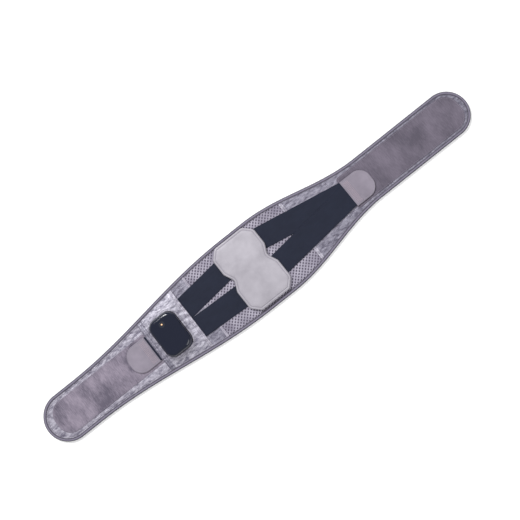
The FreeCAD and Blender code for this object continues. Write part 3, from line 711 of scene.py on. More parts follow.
def outer_satin():
    """Satin over the wings; at the two middle seams it gives way to the mesh."""
    for span, name in enumerate(SPANS):
        x0 = FOLDS[RIGHT_SIDE] if span == RIGHT_SIDE else max(CUTS[span], -HALF_LENGTH + LAYER_END)
        x1 = FOLDS[LEFT_SIDE] if span == LEFT_SIDE else min(CUTS[span + 1], HALF_LENGTH - LAYER_END)
        xs = steps_between(x0, x1, 2.4)
        # the left wing takes the brighter copy of the satin: painted light
        look = "lit_satin" if span in (LEFT_END, LEFT_FRONT) else "satin"
        piece = slab("satin_" + name, look, xs, inset_sides(LAYER_INSET), lambda x, y: Z_CORE, fabric_top,
                     edges=(0, 3, 6.5, 8, 10, 12), across=40)
        bend(piece, span, "satin", name + "_panel")


MESH_PITCH = 8.4            # along the belt and across it; every second row is offset by half
HOLE = 1.75                 # radius of a hole
HOLE_STRETCH = 1.3          # holes are longer one diagonal way than the other
HOLE_DIP = 0.35             # a hole's rim lies this much below the cell's outline
CELL_SIDES = 8


def cell_rings(cells):
    """Each cell's diamond outline at two heights and its hole at two, as points."""
    half = MESH_PITCH / 2
    diamond, hole = [], []
    for k in range(CELL_SIDES):
        angle = 2 * math.pi * k / CELL_SIDES
        reach = half if k % 2 == 0 else half / math.sqrt(2)
        diamond.append((reach * math.cos(angle), reach * math.sin(angle)))
        long = HOLE * HOLE_STRETCH * math.cos(angle - math.pi / 4)
        short = HOLE * math.sin(angle - math.pi / 4)
        hole.append(((long - short) / math.sqrt(2), (long + short) / math.sqrt(2)))
    rings = []
    for outline, z in ((diamond, Z_CORE), (diamond, Z_PANEL), (hole, Z_PANEL - HOLE_DIP), (hole, Z_CORE)):
        flat = cells[:, None, :] + np.array(outline)[None]
        rings.append(np.concatenate([flat, np.full(flat.shape[:2] + (1,), z)], -1))
    return np.stack(rings, 1).reshape(-1, 3)


def mesh_panel(name, span, x0, x1, nodes=()):
    """Open knit: a lattice of diamond cells, each with a real rounded hole."""
    half = MESH_PITCH / 2
    across = int(WAIST_HALF / half) + 1
    along = int(round((x1 - x0) / half))
    cells = np.array([(x0 + i * half, j * half) for i in range(1, along)
                      for j in range(-across, across + 1) if (i + j) % 2 == 0])
    cells = cells[depth_in(cells[:, 0], cells[:, 1]) > BINDING_WEB + half + 0.2]
    points = cell_rings(cells)
    faces = []
    for base in range(0, len(points), 4 * CELL_SIDES):
        for k in range(CELL_SIDES):
            n = (k + 1) % CELL_SIDES
            for low, high in ((1, 2), (2, 3), (3, 0)):
                low, high = base + low * CELL_SIDES, base + high * CELL_SIDES
                faces.append((low + k, low + n, high + n, high + k))
    _, first, shared = np.unique(np.round(points, 3), axis=0, return_index=True, return_inverse=True)
    shared = shared.ravel().tolist()
    faces = [tuple(shared[v] for v in face) for face in faces]
    piece = mesh_object(name, points[first], faces, "knit", 60)
    bend(piece, span, "mesh", *nodes)


def mesh_panels():
    mesh_panel("mesh_left", LEFT_SIDE, FOLDS[LEFT_SIDE], CUTS[3], ["mesh_panel"])
    mesh_panel("mesh_right", RIGHT_SIDE, CUTS[3], FOLDS[RIGHT_SIDE])


# ---- binding tape all round the edge ----
BINDING_SECTION = [         # inset from the edge, height, share of the stitch pucker, painted shade (lower is darker)
    (7.0, 7.0, 0, 0.1), (6.4, 7.12, -0.1, 0.35), (5.4, 7.0, -0.24, 0.4), (4.4, 7.2, -0.1, 0.9),
    (3.0, 7.25, 0, 1.0), (2.0, 7.12, 0, 0.3), (0.7, 6.5, 0, 0.1), (0.1, 5.2, 0, 0.05), (0.0, 3.6, 0, 0.2),
    (0.1, 1.9, 0, 0.3), (0.7, 0.7, 0, 0.5), (1.8, 0.15, 0, 0.7), (3.2, 0.0, 0, 0.8), (5.4, 0.1, 0.06, 0.6),
    (7.0, 0.05, 0, 0.2), (7.0, 0.75, 0, 0.2), (1.25, 0.82, 0, 0.2), (1.25, 6.1, 0, 0.2), (7.0, 6.25, 0, 0.2)]


BORDER_STEP = 1.8
BINDING_ROW = 5.4           # from the edge to the binding's stitches
MARGIN_ROW = 10.0           # from the edge to the stitches in the left wing's margin


def border(span):
    """The edge of one span as paths of places, inward directions and the pucker's sign."""
    x0, x1 = CUTS[span], CUTS[span + 1]

    def along(a, b):
        xs = np.linspace(a, b, max(3, int(abs(b - a) / BORDER_STEP) + 1))
        slope = edge_slope(xs)
        direction = np.stack([slope, -np.ones_like(xs)], -1) / np.hypot(1, slope)[:, None]
        return np.stack([xs, half_width(xs)], -1), direction

    def tip(centre, radius, a0, a1):
        angles = np.linspace(a0, a1, int(math.pi * radius / BORDER_STEP))[1:-1]
        direction = -np.stack([np.cos(angles), np.sin(angles)], -1)
        return np.array([centre, 0]) - direction * radius, direction

    def lower(part):
        flip = np.array([1, -1])
        return part[0][::-1] * flip, part[1][::-1] * flip

    if span == LEFT_END:
        upper = along(x1, LEFT_TIP)
        parts = [[upper, tip(LEFT_TIP, LEFT_HALF, math.pi / 2, 1.5 * math.pi), lower(upper)]]
    elif span == RIGHT_END:
        upper = along(x0, RIGHT_TIP)
        parts = [[upper, tip(RIGHT_TIP, RIGHT_HALF, math.pi / 2, -math.pi / 2), lower(upper)]]
    else:
        upper = along(x0, x1)
        parts = [[upper], [lower(upper)]]
    paths = []
    for part in parts:
        place = np.concatenate([p for p, _ in part])
        direction = np.concatenate([d for _, d in part])
        if span == LEFT_END:
            place, direction = place[::-1], direction[::-1]
        wave = np.where(np.arange(len(place)) % 2 == 0, 1.0, -1.0)
        paths.append((place, direction, wave))
    return paths


def edge_rows(span, inset, z):
    return [at_height(place + direction * inset, z) for place, direction, _ in border(span)]


def binding():
    for span, name in enumerate(SPANS):
        points, faces = sweep(border(span), BINDING_SECTION)
        piece = mesh_object("binding_" + name, points, faces, "binding", 50)
        # each point of the section carries its painted shade
        painted_shades = np.tile([row[3] for row in BINDING_SECTION], len(points) // len(BINDING_SECTION))
        painted_shade = piece.data.attributes.new("painted_shade", "FLOAT", "POINT")
        painted_shade.data.foreach_set("value", painted_shades.astype(np.float32))
        bend(piece, span, "binding", *layer_nodes(span, "binding"))
        rows = edge_rows(span, BINDING_ROW, Z_BINDING + 0.05) + edge_rows(span, BINDING_ROW, 0.25)
        bend(stitches("binding_stitches_" + name, rows, "dark_thread", BINDING_STITCH), span, "binding")
    for span in (LEFT_END, LEFT_FRONT):
        rows = rows_in(edge_rows(span, MARGIN_ROW, Z_PANEL + 0.12), CUTS[0], HEM_LEFT - 1)
        bend(stitches("margin_stitches_" + SPANS[span], rows, "dark_thread", SEAM_STITCH), span, "satin")


# ---- loop panels ----
LOOP_ROW = 2.6              # from a loop panel's edge to its stitches


def nap_height(x, y, half, x0, x1, corner):
    """Loop pile: rounded off at the panel's edge, gently wavy inside."""
    edge = np.minimum(np.minimum(y + half, half - y), np.minimum(x - x0, x1 - x) + corner)
    waves = 0.16 * ripple(x, y, 46.0, 2.0) + 0.05 * ripple(x, y, 7.0, 0.3)
    return Z_PANEL - 0.25 + rolled(edge, 1.4) * (0.98 + waves)


def loop_panel(side, span, x0, x1, half, round_left, round_right):
    """Brushed loop on one wing, with its stitches; the roundings are its corner radii."""
    def edge(x):
        left = corner_cut(x0 + round_left - x, round_left)
        right = corner_cut(x - x1 + round_right, round_right)
        return half - left - right

    name = side + "_loop"
    xs = np.union1d(np.linspace(x0, x1, int((x1 - x0) / 2)), [x0 + 0.3, x0 + 1, x1 - 1, x1 - 0.3])
    piece = slab(name, name, xs, both_sides(edge), lambda x, y: Z_PANEL - 0.3,
                 lambda x, y: nap_height(x, y, edge(x), x0, x1, 0.2),
                 edges=(0, 0.3, 0.8, 1.4, 3), across=34)
    bend(piece, span, "loop", side + "_end_loop", side + "_front_loop")
    radii = [round_left - 2, round_right - 2, round_right - 2, round_left - 2]
    outline = rectangle(x0 + LOOP_ROW, x1 - LOOP_ROW, -half + LOOP_ROW, half - LOOP_ROW, radii)
    rows = [closed_row(outline, Z_LOOP + 0.05)]
    bend(stitches(name + "_stitches", rows, "grey_thread", LOOP_STITCH), span, "loop")


def loop_panels():
    tip = extent("left_end_loop")
    loop_panel("left", LEFT_END, tip[0], extent("left_front_loop")[1], tip[3], tip[3] - 6, 3.0)
    tip = extent("right_end_loop")
    loop_panel("right", RIGHT_END, extent("right_front_loop")[0], tip[1], tip[3], 6.0, tip[3] - 6)


# ---- elastic straps ----
POCKET_RIGHT = extent("pocket_edge_tape")[1]
POCKET_FOLD = FOLDS[LEFT_FRONT]
LEFT_TAB_X = extent("left_tab_cover")[1]
RIGHT_TAB_X = extent("right_tab_cover")[0]
LEFT_STRAP_X = extent("left_upper_strap")[1]
RIGHT_STRAP_X = extent("right_upper_strap")[0]
STRAP_WIDTH = 49.5
HEM_LEFT = extent("pocket_hem")[0]
LEFT_END_HALF = extent("left_strap_end")[3]
Z_END = extent("left_strap_end")[4]
LEFT_CROSSING = (130.0, 168.0)      # the lower strap climbs onto the upper one here, to the left
RIGHT_CROSSING = (60.0, 95.0)       # and here, to the right
PAST_LEFT_TAB = -300.0      # straps run on under their tabs
PAST_RIGHT_TAB = RIGHT_TAB_X + 20
RIGHT_UPPER_TOP = 28.5      # at the right tab
RIGHT_LOWER_TOP = STRAP_WIDTH - 30.5


def stations(*rows):
    """Edges of a strap through (x, top, bottom) stations, as functions of x."""
    rows = sorted(rows)
    xs = [r[0] for r in rows]
    return (lambda x: np.interp(x, xs, [r[2] for r in rows]),
            lambda x: np.interp(x, xs, [r[1] for r in rows]))


def strap(side, level, edges, base, cuts):
    """One strap in pieces; each piece is (name, x0, x1, move) and move is then called on it."""
    low, high = edges
    nodes = [side + "_" + level + "_strap", side + "_side_" + level + "_strap"]
    if level == "lower":
        nodes.append(side + "_strap_end")

    def top(x, y):
        roll = rolled(np.minimum(y - low(x), high(x) - y), 0.8)
        return base(x) + STRAP * (0.55 + 0.45 * roll) + 0.05 * ripple(x, y, 24.0, 0.9)

    for name, x0, x1, move in cuts:
        xs = np.linspace(x0, x1, max(4, int((x1 - x0) / 2.0)))
        piece = slab(side + "_strap_" + level + "_" + name, "elastic", xs, edges, lambda x, y: base(x), top,
                     edges=(0, 0.3, 0.8, 2.0), across=14)
        move(piece)
        if name == "side":
            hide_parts(*nodes)


def over(span):
    """Hands a strap's piece to bend, which bakes its place."""
    return lambda piece: bend(piece, span, "elastic")


def pull():
    """Bakes a strap's piece in place."""
    def move(piece):
        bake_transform(piece)
    return move


def left_straps():
    upper = stations((LEFT_STRAP_X, 61.0, 11.5), (POCKET_RIGHT, 49.0, -1.0),
                     (POCKET_FOLD, LEFT_END_HALF, LEFT_END_HALF - STRAP_WIDTH),
                     (PAST_LEFT_TAB, LEFT_END_HALF, -20.0))
    lower = stations((LEFT_STRAP_X, -5.0, -54.5), (POCKET_RIGHT, -1.0, -49.0),
                     (POCKET_FOLD, STRAP_WIDTH - LEFT_END_HALF, -LEFT_END_HALF),
                     (PAST_LEFT_TAB, 20.0, -LEFT_END_HALF))

    def base(x):
        return ramp(-x, -POCKET_FOLD - 5, -HEM_LEFT - 1, Z_PANEL, Z_END)

    def crossed(x):
        return np.maximum(ramp(-x, *LEFT_CROSSING, Z_PANEL, Z_PANEL + STRAP), base(x) + 1.1 * (x < -200))

    shown = POCKET_FOLD + BEND_REACH[LEFT_FRONT]
    hidden = POCKET_FOLD - BEND_REACH[LEFT_FRONT] - 0.2
    tab = LEFT_TAB_X
    cuts = [("side", shown, LEFT_STRAP_X, over(LEFT_SIDE)),
            ("hem", hidden, shown, over(LEFT_FRONT)),
            ("slot", tab, hidden, pull()),
            ("tab", tab - 6, tab, pull())]
    strap("left", "upper", upper, base, cuts)
    strap("left", "lower", lower, crossed, cuts)


def right_straps():
    fold, tab = FOLDS[RIGHT_FRONT], RIGHT_TAB_X
    upper = stations((RIGHT_STRAP_X, 67.0, 17.5), (fold, 37.0, -12.5),
                     (tab, RIGHT_UPPER_TOP, RIGHT_UPPER_TOP - STRAP_WIDTH),
                     (PAST_RIGHT_TAB, RIGHT_UPPER_TOP, RIGHT_UPPER_TOP - STRAP_WIDTH))
    lower = stations((RIGHT_STRAP_X, -2.5, -52.0), (fold, 14.5, -35.0),
                     (tab, RIGHT_LOWER_TOP, RIGHT_LOWER_TOP - STRAP_WIDTH),
                     (PAST_RIGHT_TAB, RIGHT_LOWER_TOP, RIGHT_LOWER_TOP - STRAP_WIDTH))

    def base(x):
        return ramp(x, fold, tab - 8, Z_PANEL, Z_END)

    def crossed(x):
        climb = ramp(x, *RIGHT_CROSSING, Z_PANEL + 0.05, Z_PANEL + STRAP)
        return climb + ramp(x, fold, tab - 8, 0, Z_END - Z_PANEL - 0.1)

    slide = fold + BEND_REACH[RIGHT_FRONT] + 3
    cuts = [("side", RIGHT_STRAP_X, CUTS[4], over(RIGHT_SIDE)),
            ("front", CUTS[4], slide, over(RIGHT_FRONT)),
            ("slot", slide, tab - 1, pull()),
            ("tab", tab - 1, tab + 6, pull())]
    strap("right", "upper", upper, base, cuts)
    strap("right", "lower", lower, crossed, cuts)


# ---- back pad ----
PAD = extent("pad_cover")
PAD_X = (PAD[0] + PAD[1]) / 2
PAD_WAIST = 43.0            # half the pad's width at its waist
PAD_CHAMFER = 18.0
PAD_NOTCH = 22.0            # how far the waist reaches up and down
PAD_WAIST_RAISE = 3.0       # the waist lies this much above the pad's middle
PAD_RADII = (9.0, 12.0, 14.0, 12.0, 14.0, 12.0, 9.0)
WELT = 4.6                  # from the pad's edge to its welt line
PAD_EDGE = (                # inset from the pad's edge, share of its height
    (0.0, 0.2), (-0.2, 0.4), (0.1, 0.55), (0.8, 0.67), (1.9, 0.745), (3.1, 0.765), (4.0, 0.74),
    (WELT, 0.68), (5.1, 0.74), (6.2, 0.80), (7.6, 0.84))
PAD_CROWN = 0.84            # the crowned top starts at this share of the height
PAD_SOFTNESS = 0.012        # share of the height in the top's slight waves


def pad_outline():
    lobe = (PAD[1] - PAD[0]) / 2
    top, bottom = PAD[3], PAD[2]
    middle = (top + bottom) / 2 + PAD_WAIST_RAISE
    right = [(lobe - PAD_CHAMFER, top), (lobe, top - PAD_CHAMFER), (lobe, middle + PAD_NOTCH),
             (PAD_WAIST, middle), (lobe, middle - PAD_NOTCH), (lobe, bottom + PAD_CHAMFER),
             (lobe - PAD_CHAMFER, bottom)]
    corners = [(PAD_X - x, y) for x, y in right] + [(PAD_X + x, y) for x, y in reversed(right)]
    return rounded_outline(corners, PAD_RADII + PAD_RADII[::-1], 2.2)


def pad_rings(outline, low, thick):
    """The pad's outline at rising heights: its underside, its edge and its crowned top."""
    rings = [at_height(inward(outline, 6.0), low), at_height(inward(outline, 0.8), low),
             at_height(inward(outline, 0.1), low + 0.8)]
    rings += [at_height(inward(outline, inset), low + thick * share) for inset, share in PAD_EDGE]
    last = rings[-1][:, :2]
    middle = np.array([PAD_X, (PAD[2] + PAD[3]) / 2])
    for share in np.linspace(0.06, 0.97, 16):
        flat = last + (middle - last) * share
        crown = PAD_CROWN + (1 - PAD_CROWN) * (1 - (1 - share) ** 2.2)
        soft = PAD_SOFTNESS * ripple(flat[:, 0], flat[:, 1], 34.0, 0.7) * smooth(share * 3)
        rings.append(at_height(flat, low + thick * (crown + soft - PAD_SOFTNESS)))
    return rings


def back_pad():
    outline = pad_outline()
    low, thick = PAD[4], PAD[5] - PAD[4]
    piece = stack("back_pad", "pad", pad_rings(outline, low, thick), 50)
    carry(piece, "back", "leatherette", "pad_cover", "pad_foam")
    rows = [closed_row(inward(outline, WELT), low + thick * 0.70)]
    carry(stitches("back_pad_stitches", rows, "grey_thread", PAD_STITCH), "back", "leatherette")


# ---- pocket over the controller ----
TRAY = extent("dock_tray")
WINDOW = extent("controller_cover")
CONTROLLER_X = (WINDOW[0] + WINDOW[1]) / 2
CONTROLLER_CORNER = 19.0
POCKET = extent("pocket_panel")
SHEET_TOP = extent("pocket_edge_tape")[4]
COLLAR_TOP = POCKET[5]
FABRIC = 0.8
POCKET_INSET = BINDING_WIDTH + 1
COLLAR = (                  # outwards from the controller's outline, depth below the collar's top
    (0.9, 0.7), (1.0, 0.15), (1.5, 0.0), (2.4, 0.1), (3.2, 0.8), (4.4, 2.2), (5.6, 3.4))
COLLAR_FOOT = 6.6           # the collar ends this far out
COLLAR_DROP = 4.1           # and this far down


def strap_reach(x):
    """Half the width that the straps fill under the pocket."""
    return np.interp(x, [POCKET_FOLD, POCKET_RIGHT], [30.0, 49.5])


def pocket_top(x, y):
    """Height of the pocket cloth away from the window."""
    x, y = np.asarray(x, float), np.asarray(y, float)
    reach = strap_reach(x)
    rim = inset_half(x, POCKET_INSET)
    share = (abs(y) - reach - 1.5) / np.maximum(rim - reach - 1.5, 1)
    top = SHEET_TOP - (SHEET_TOP - Z_PANEL - 0.7) * smooth(share)
    puff = smooth((rim - abs(y)) / 7.0) * smooth((abs(y) - 20) / 16.0) * 1.0
    right = smooth((x - CONTROLLER_X) / 24.0)
    crease = np.sin(0.42 * y + 1.6 * np.sin(0.11 * x) + 0.05 * x) * right * 0.35
    crease = crease + 0.42 * ripple(x, y, 13.0, 3.1) * smooth((rim - abs(y)) / 4.0)
    lead = 1.5 * np.exp(-((x - CONTROLLER_X) / 5.0) ** 2) * smooth((-y - 43) / 4) * smooth((66 + y) / 10)
    return top + puff + crease * 0.75 + lead


def window(outline_angle, grow):
    """The controller's outline moved outwards, at the given angles round its centre."""
    width, height = (WINDOW[1] - WINDOW[0]) / 2 + grow, (WINDOW[3] - WINDOW[2]) / 2 + grow
    r = CONTROLLER_CORNER + grow
    base = rectangle(-width, width, -height, height, [r] * 4, 1.0)
    angle = np.unwrap(np.arctan2(base[:, 1], base[:, 0]))
    order = np.argsort(angle % (2 * math.pi))
    keys = (angle % (2 * math.pi))[order]
    x = np.interp(outline_angle % (2 * math.pi), keys, base[order, 0], period=2 * math.pi)
    y = np.interp(outline_angle % (2 * math.pi), keys, base[order, 1], period=2 * math.pi)
    return np.stack([CONTROLLER_X + x, y], -1)


def pocket_edge(xs):
    """The pocket's outer edge, all round, as flat points."""
    x0, x1 = xs[0], xs[-1]
    top_edge = np.stack([xs, inset_half(xs, POCKET_INSET)], -1)
    ys = np.linspace(-1, 1, 60)[1:-1]
    right_edge = np.stack([np.full(len(ys), x1), ys * inset_half(x1, POCKET_INSET)], -1)
    left_edge = np.stack([np.full(len(ys), x0), -ys * inset_half(x0, POCKET_INSET)], -1)
    return np.concatenate([right_edge, top_edge[::-1], left_edge, top_edge * np.array([1, -1])])


def pocket_rings(outer):
    """Rings of points from the window's collar out to the pocket's edge."""
    angle = np.arctan2(outer[:, 1], outer[:, 0] - CONTROLLER_X)
    rings = [at_height(window(angle, grow), COLLAR_TOP - down) for grow, down in COLLAR]
    base = window(angle, COLLAR_FOOT)
    foot = COLLAR_TOP - COLLAR_DROP
    for share in np.linspace(0, 1, 22):
        flat = base + (outer - base) * share
        height = pocket_top(flat[:, 0], flat[:, 1])
        leave = smooth(share * 2.2)
        collar = foot * (1 - leave) + height * leave
        rings.append(at_height(flat, np.maximum(height, np.minimum(collar, foot))))
    return rings


def pocket_cloth():
    """The cloth over the controller: a sheet with a window, as thick as FABRIC."""
    xs = np.linspace(POCKET_FOLD - 2.0, POCKET_RIGHT, 48)
    rings = pocket_rings(pocket_edge(xs))
    rings += [ring - np.array([0, 0, FABRIC]) for ring in rings[::-1]]
    count = len(rings[0])
    faces = quads(len(rings), count, closed=True)
    last = (len(rings) - 1) * count
    faces += [(last + j, j, (j + 1) % count, last + (j + 1) % count) for j in range(count)]
    # the pocket takes a brighter copy of the satin: painted light
    piece = mesh_object("pocket_cloth", np.concatenate(rings), faces, "lit_pocket_satin", 50)
    bend(piece, LEFT_FRONT, "satin", "pocket_panel")


def band(name, x0, x1, thick, look, strap_lift=0.0):
    """A strip of cloth across the belt that lies on the pocket, and the height of its top."""
    def base(x, y):
        return pocket_top(x, y) + strap_lift * smooth((strap_reach(x) + 4 - abs(y)) / 6.0)

    def top(x, y):
        return base(x, y) + thick * (0.3 + 0.7 * rolled(np.minimum(x - x0, x1 - x), 1.0))

    piece = slab(name, look, np.linspace(x0, x1, 12), inset_sides(POCKET_INSET - 0.2),
                 lambda x, y: base(x, y) - 0.5, top, edges=(0, 0.6, 2), across=70)
    return piece, top


def band_rows(places, top):
    return cross_rows(places, lambda x: inset_half(x, POCKET_INSET) - 1, lambda x, y: top(x, y) + 0.02)


def pocket_bands():
    right = POCKET_FOLD + 4.8
    hem, top = band("pocket_hem", HEM_LEFT, right, 0.6, "satin", strap_lift=0.5)
    bend(hem, LEFT_FRONT, "satin", "pocket_hem")
    rows = band_rows((HEM_LEFT + 1.6, (HEM_LEFT + right) / 2, right - 1.6), top)
    bend(stitches("pocket_hem_stitches", rows, "dark_thread", HEM_STITCH), LEFT_FRONT, "satin")
    left, right = extent("pocket_edge_tape")[:2]
    tape, top = band("pocket_edge_tape", left, right + 0.3, 0.75, "lit_satin")
    carry(tape, "left_side", "satin", "pocket_edge_tape")
    rows = band_rows((left + 1.4, right - 1.2), top)
    carry(stitches("pocket_tape_stitches", rows, "pale_thread", TAPE_STITCH), "left_side", "satin")


# ---- seams across the belt ----
FRONT_SEAM_X = 216.0


def seam(name, span, x, width, look, thread, row):
    """A flat seam tape across the outer fabric, with a stitch row to each side of its middle."""
    def top(at, y):
        side = np.minimum(at - x + width / 2, x + width / 2 - at)
        return Z_PANEL + 0.12 + 0.3 * smooth(side / 1.2)

    xs = np.linspace(x - width / 2, x + width / 2, 7)
    piece = slab(name, look, xs, inset_sides(BINDING_WIDTH - 1), lambda at, y: Z_PANEL - 0.5, top, across=60)
    bend(piece, span, "satin")
    rows = cross_rows((x - row, x + row), lambda at: inset_half(at, BINDING_WIDTH - 1) - 2,
                      lambda at, y: top(at, y) + 0.05)
    bend(stitches(name + "_stitches", rows, thread, SEAM_STITCH), span, "satin")


def seams():
    seam("seam_left", LEFT_SIDE, FOLDS[LEFT_SIDE], 5.0, "knit", "pale_thread", 1.2)
    seam("seam_right", RIGHT_SIDE, FOLDS[RIGHT_SIDE], 7.0, "lit_satin", "pale_thread", 2.2)
    seam("seam_front", RIGHT_FRONT, FRONT_SEAM_X, 5.0, "satin", "dark_thread", 1.4)


# ---- pull tabs ----
TAB_CORNER = 26.0
TAB_BAND = 17.0
TAB_SEAM = 3.3              # from the tab's edge to its seam
TAB_BASE_CORNER = 1.5
BAND_ROWS = (4.6, 7.2, 9.8, 12.4, 15.0)


BAND_MARGIN = 4.5           # from the band rows' ends to the tab's long sides


def pull_tab(side, body):
    """Crowned leatherette tab with a rolled edge; side is -1 for one that points to -X."""
    x0, x1, y0, y1, z0, z1 = extent(body + "_cover")
    base, end = (x1, x0) if side < 0 else (x0, x1)
    middle, half = (y0 + y1) / 2, (y1 - y0) / 2

    def edge(x):
        return half - corner_cut(TAB_CORNER - abs(end - x), TAB_CORNER)

    def inset(x, y):
        out_x = np.maximum(TAB_CORNER - abs(end - x), 0)
        out_y = np.maximum(abs(y - middle) - half + TAB_CORNER, 0)
        corner = TAB_CORNER - np.hypot(out_x, out_y)
        return np.minimum(np.minimum(corner, half - abs(y - middle)), abs(x - base) + 0.4)

    def top(x, y):
        depth = inset(x, y)
        groove = 0.3 * np.exp(-((depth - TAB_SEAM) / 0.6) ** 2)
        band_end = 0.45 * np.exp(-((abs(x - base) - TAB_BAND) / 0.8) ** 2)
        crown = 0.22 * smooth(depth / 16.0)
        return z1 - 1.5 + 1.45 * rolled(depth, 1.6) + crown - groove - band_end

    length = abs(end - base)
    runs = np.union1d(np.linspace(0.0, length, 56), [0.2, 0.6, length - 0.2, length - 0.6, length - 1.2])
    name = body + "_leather"
    piece = slab(name, "tab", np.sort(base + side * runs),
                 (lambda x: middle - edge(x), lambda x: middle + edge(x)), lambda x, y: z0 + 0.02, top,
                 edges=(0, 0.2, 0.6, 1.2, 2.0, 3.2), across=46, sharp=50)
    carry(piece, body, "leatherette", body + "_cover")
    left, right = (TAB_CORNER, TAB_BASE_CORNER) if side < 0 else (TAB_BASE_CORNER, TAB_CORNER)
    radii = [left, right, right, left]
    rows = [closed_row(inward(rectangle(x0, x1, y0, y1, radii, 2.0), TAB_SEAM), z1 - 0.22)]
    carry(stitches(name + "_stitches", rows, "grey_thread", TAB_STITCH), body, "leatherette")
    places = [base + step * side for step in BAND_ROWS]
    rows = [line(x, y0 + BAND_MARGIN, x, y1 - BAND_MARGIN, top) for x in places]
    carry(stitches(name + "_band", rows, "rose_thread", TAB_BAND_STITCH), body, "leatherette")


# ---- heater lead, inside the belt ----
LEAD = extent("heater_lead")
FILM = extent("heating_film")
LEAD_RADIUS = 1.1
LEAD_MARGIN = 2.0           # least distance from the lead's middle line to the binding


def lead_line():
    """The lead's smooth line, from the controller's tray to the heating film."""
    x, edge, film_x = CONTROLLER_X, TRAY[2], FILM[0]
    low, high = LEAD[4] + LEAD_RADIUS, LEAD[5] - LEAD_RADIUS
    route = [(x, edge, high), (x, edge - 5, high), (x + 2, edge - 12, low),
             (x + 8, edge - 17, low), (x + 26, edge - 18.5, low),
             (x + 62, edge - 17, low), (x + 98, edge - 18.5, low),
             (film_x - 32, edge - 17, low), (film_x - 12, edge - 12, low),
             (film_x + 2, edge + 2, low), (film_x + 12, edge + 8, low)]
    data = bpy.data.curves.new("heater_lead_line", "CURVE")
    data.dimensions = "3D"
    data.bevel_depth = LEAD_RADIUS
    data.bevel_resolution = 3
    data.use_fill_caps = True
    spline = data.splines.new("NURBS")
    spline.points.add(len(route) - 1)
    for point, (px, py, pz) in zip(spline.points, route):
        point.co = (px, max(py, LEAD_MARGIN + BINDING_WIDTH - half_width(px)), pz, 1)
    spline.order_u = 3
    spline.use_endpoint_u = True
    return bpy.data.objects.new("heater_lead_line", data)


def heater_lead():
    curve = lead_line()
    tube = bpy.data.meshes.new_from_object(curve)
    bpy.data.objects.remove(curve)
    points = [tuple(v.co) for v in tube.vertices]
    faces = [tuple(p.vertices) for p in tube.polygons]
    bpy.data.meshes.remove(tube)
    piece = mesh_object("heater_lead_cord", points, faces, "lead")
    bend(piece, LEFT_SIDE, "lead", "heater_lead")


# ---- CAD parts that keep their shape and get a finish ----
def cad_look(name, colour, roughness, grain, depth, strength, detail=3.0, **settings):
    """A rigid part's finish with a fine grain."""
    look = Look(name, lin(*colour), roughness, on_cad=True, **settings)
    look.relief(look.noise(grain, detail=detail), depth, strength)
    return look


def make_steel():
    look = Look("brushed_steel", lin(176, 178, 184), 0.32, on_cad=True, Metallic=1.0)
    look.gloss(look.noise(3.0, (0.1, 4, 1)), 0.24, 0.42)
    return look


def make_gold():
    look = Look("contact_gold", lin(214, 178, 104), 0.25, on_cad=True, Metallic=1.0)
    look.gloss(look.noise(0.8), 0.18, 0.34)
    return look


def make_board():
    look = Look("circuit_board", lin(24, 82, 52), 0.45, on_cad=True)
    look.tint(look.cells(5.0), lin(18, 70, 44), lin(34, 104, 66))
    return look


def make_film():
    look = Look("heater_film", lin(186, 118, 52), 0.3, on_cad=True)
    look.tint(look.bands(6.0, distortion=1.2), lin(154, 92, 40), lin(206, 142, 74))
    return look


def finish_nodes(look, *names):
    for name in names:
        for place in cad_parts[name].material_slots:
            place.material = look.material


def dress_cad():
    finish_nodes(cad_look("gloss_shell", (16, 22, 42), 0.12, 60.0, 0.3, 0.2, 1.0, Specular_IOR_Level=0.3,
                          Coat_Weight=0.5, Coat_Roughness=0.03), "controller_cover")
    finish_nodes(cad_look("matte_shell", (34, 37, 50), 0.5, 0.5, 0.06, 0.7, 4.0), "controller_base")
    finish_nodes(cad_look("tray_plastic", (58, 60, 74), 0.45, 0.6, 0.06, 0.7, 4.0), "dock_tray")
    finish_nodes(make_steel(), "usb_socket", "housing_screws", "left_stay", "right_stay")
    finish_nodes(make_gold(), "contact_pins")
    finish_nodes(make_board(), "circuit_board")
    finish_nodes(cad_look("cell_wrap", (60, 96, 150), 0.35, 6.0, 0.2, 0.6), "battery_cell")
    finish_nodes(make_film(), "heating_film")
    finish_nodes(cad_look("stiff_plate", (200, 200, 202), 0.5, 1.2, 0.05, 0.5), "pad_plate")
    finish_nodes(cad_look("key_cap", (30, 34, 48), 0.22, 0.7, 0.03, 0.4, Coat_Weight=0.4), "power_key")
    finish_nodes(cad_look("light_guide", (255, 214, 170), 0.3, 0.6, 0.03, 0.4,
                          Emission_Color=lin(255, 172, 104), Emission_Strength=0.7), "light_guide")
    finish_nodes(make_hook(), "closing_hook_patch", "left_tab_hook", "right_tab_hook")


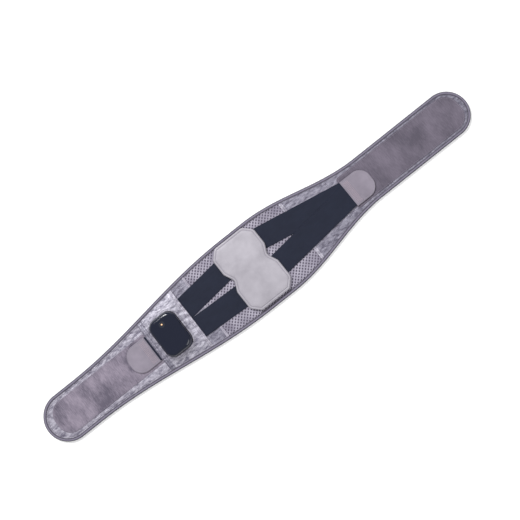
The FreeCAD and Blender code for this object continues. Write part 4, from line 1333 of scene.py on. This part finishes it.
# ---- stage, light and camera ----
TURN = math.radians(38.5)       # the belt lies turned by this much in the picture
LOOK_AT = (12.8, 6.2, 0.0)
ELEVATION = math.radians(85.5)  # the camera leans over the belt's lower edge
DISTANCE = 1.497
FLOOR_GLOW = 0.22
WORLD_LIGHT = 0.42
WHITE = (1.0, 1.0, 1.0, 1.0)
BACK = Vector((0, -math.cos(ELEVATION), math.sin(ELEVATION)))
ACROSS = BACK.cross(Vector((1, 0, 0)))
RIGHTWARD = Vector((1, 0, 0)) * math.cos(TURN) - ACROSS * math.sin(TURN)
UPWARD = Vector((1, 0, 0)) * math.sin(TURN) + ACROSS * math.cos(TURN)


def stage():
    floor = Look("floor", (0.97, 0.97, 0.975, 1.0), 0.9, on_cad=True,
                 Emission_Color=WHITE, Emission_Strength=FLOOR_GLOW)
    bpy.ops.mesh.primitive_plane_add(size=8, location=(0, 0, -0.0004))
    plane = bpy.context.object
    plane.name = "floor"
    plane.data.materials.append(floor.material)
    world = bpy.data.worlds.new("studio")
    world.use_nodes = True
    sky = world.node_tree.nodes["Background"]
    sky.inputs["Color"].default_value = WHITE
    sky.inputs["Strength"].default_value = WORLD_LIGHT
    bpy.context.scene.world = world


def softbox(name, across, up, height, size, power):
    """A square light above the scene, aimed at the belt; across and up as in the picture."""
    data = bpy.data.lights.new(name, "AREA")
    data.shape = "SQUARE"
    data.size = size
    data.energy = power
    lamp = bpy.data.objects.new(name, data)
    place = RIGHTWARD * across + UPWARD * up + Vector((0, 0, height))
    lamp.location = place
    lamp.rotation_mode = "QUATERNION"
    lamp.rotation_quaternion = (-place).to_track_quat("-Z", "Y")
    bpy.context.scene.collection.objects.link(lamp)


def camera():
    data = bpy.data.cameras.new("camera")
    data.lens = 50
    data.sensor_width = 36
    piece = bpy.data.objects.new("camera", data)
    target = Vector(LOOK_AT) * MM
    piece.rotation_mode = "QUATERNION"
    piece.rotation_quaternion = Matrix((RIGHTWARD, UPWARD, BACK)).transposed().to_quaternion()
    piece.location = target + BACK * DISTANCE
    bpy.context.scene.collection.objects.link(piece)
    bpy.context.scene.camera = piece


lining()
outer_satin()
mesh_panels()
binding()
loop_panels()
left_straps()
right_straps()
back_pad()
pocket_cloth()
pocket_bands()
seams()
pull_tab(-1, "left_tab")
pull_tab(1, "right_tab")
heater_lead()
dress_cad()
stage()
softbox("key_softbox", -1.1, 1.1, 1.8, 0.8, 50.0)
softbox("fill_softbox", 1.2, -0.9, 1.9, 1.4, 15.0)
camera()
bpy.context.scene.view_settings.view_transform = "Standard"
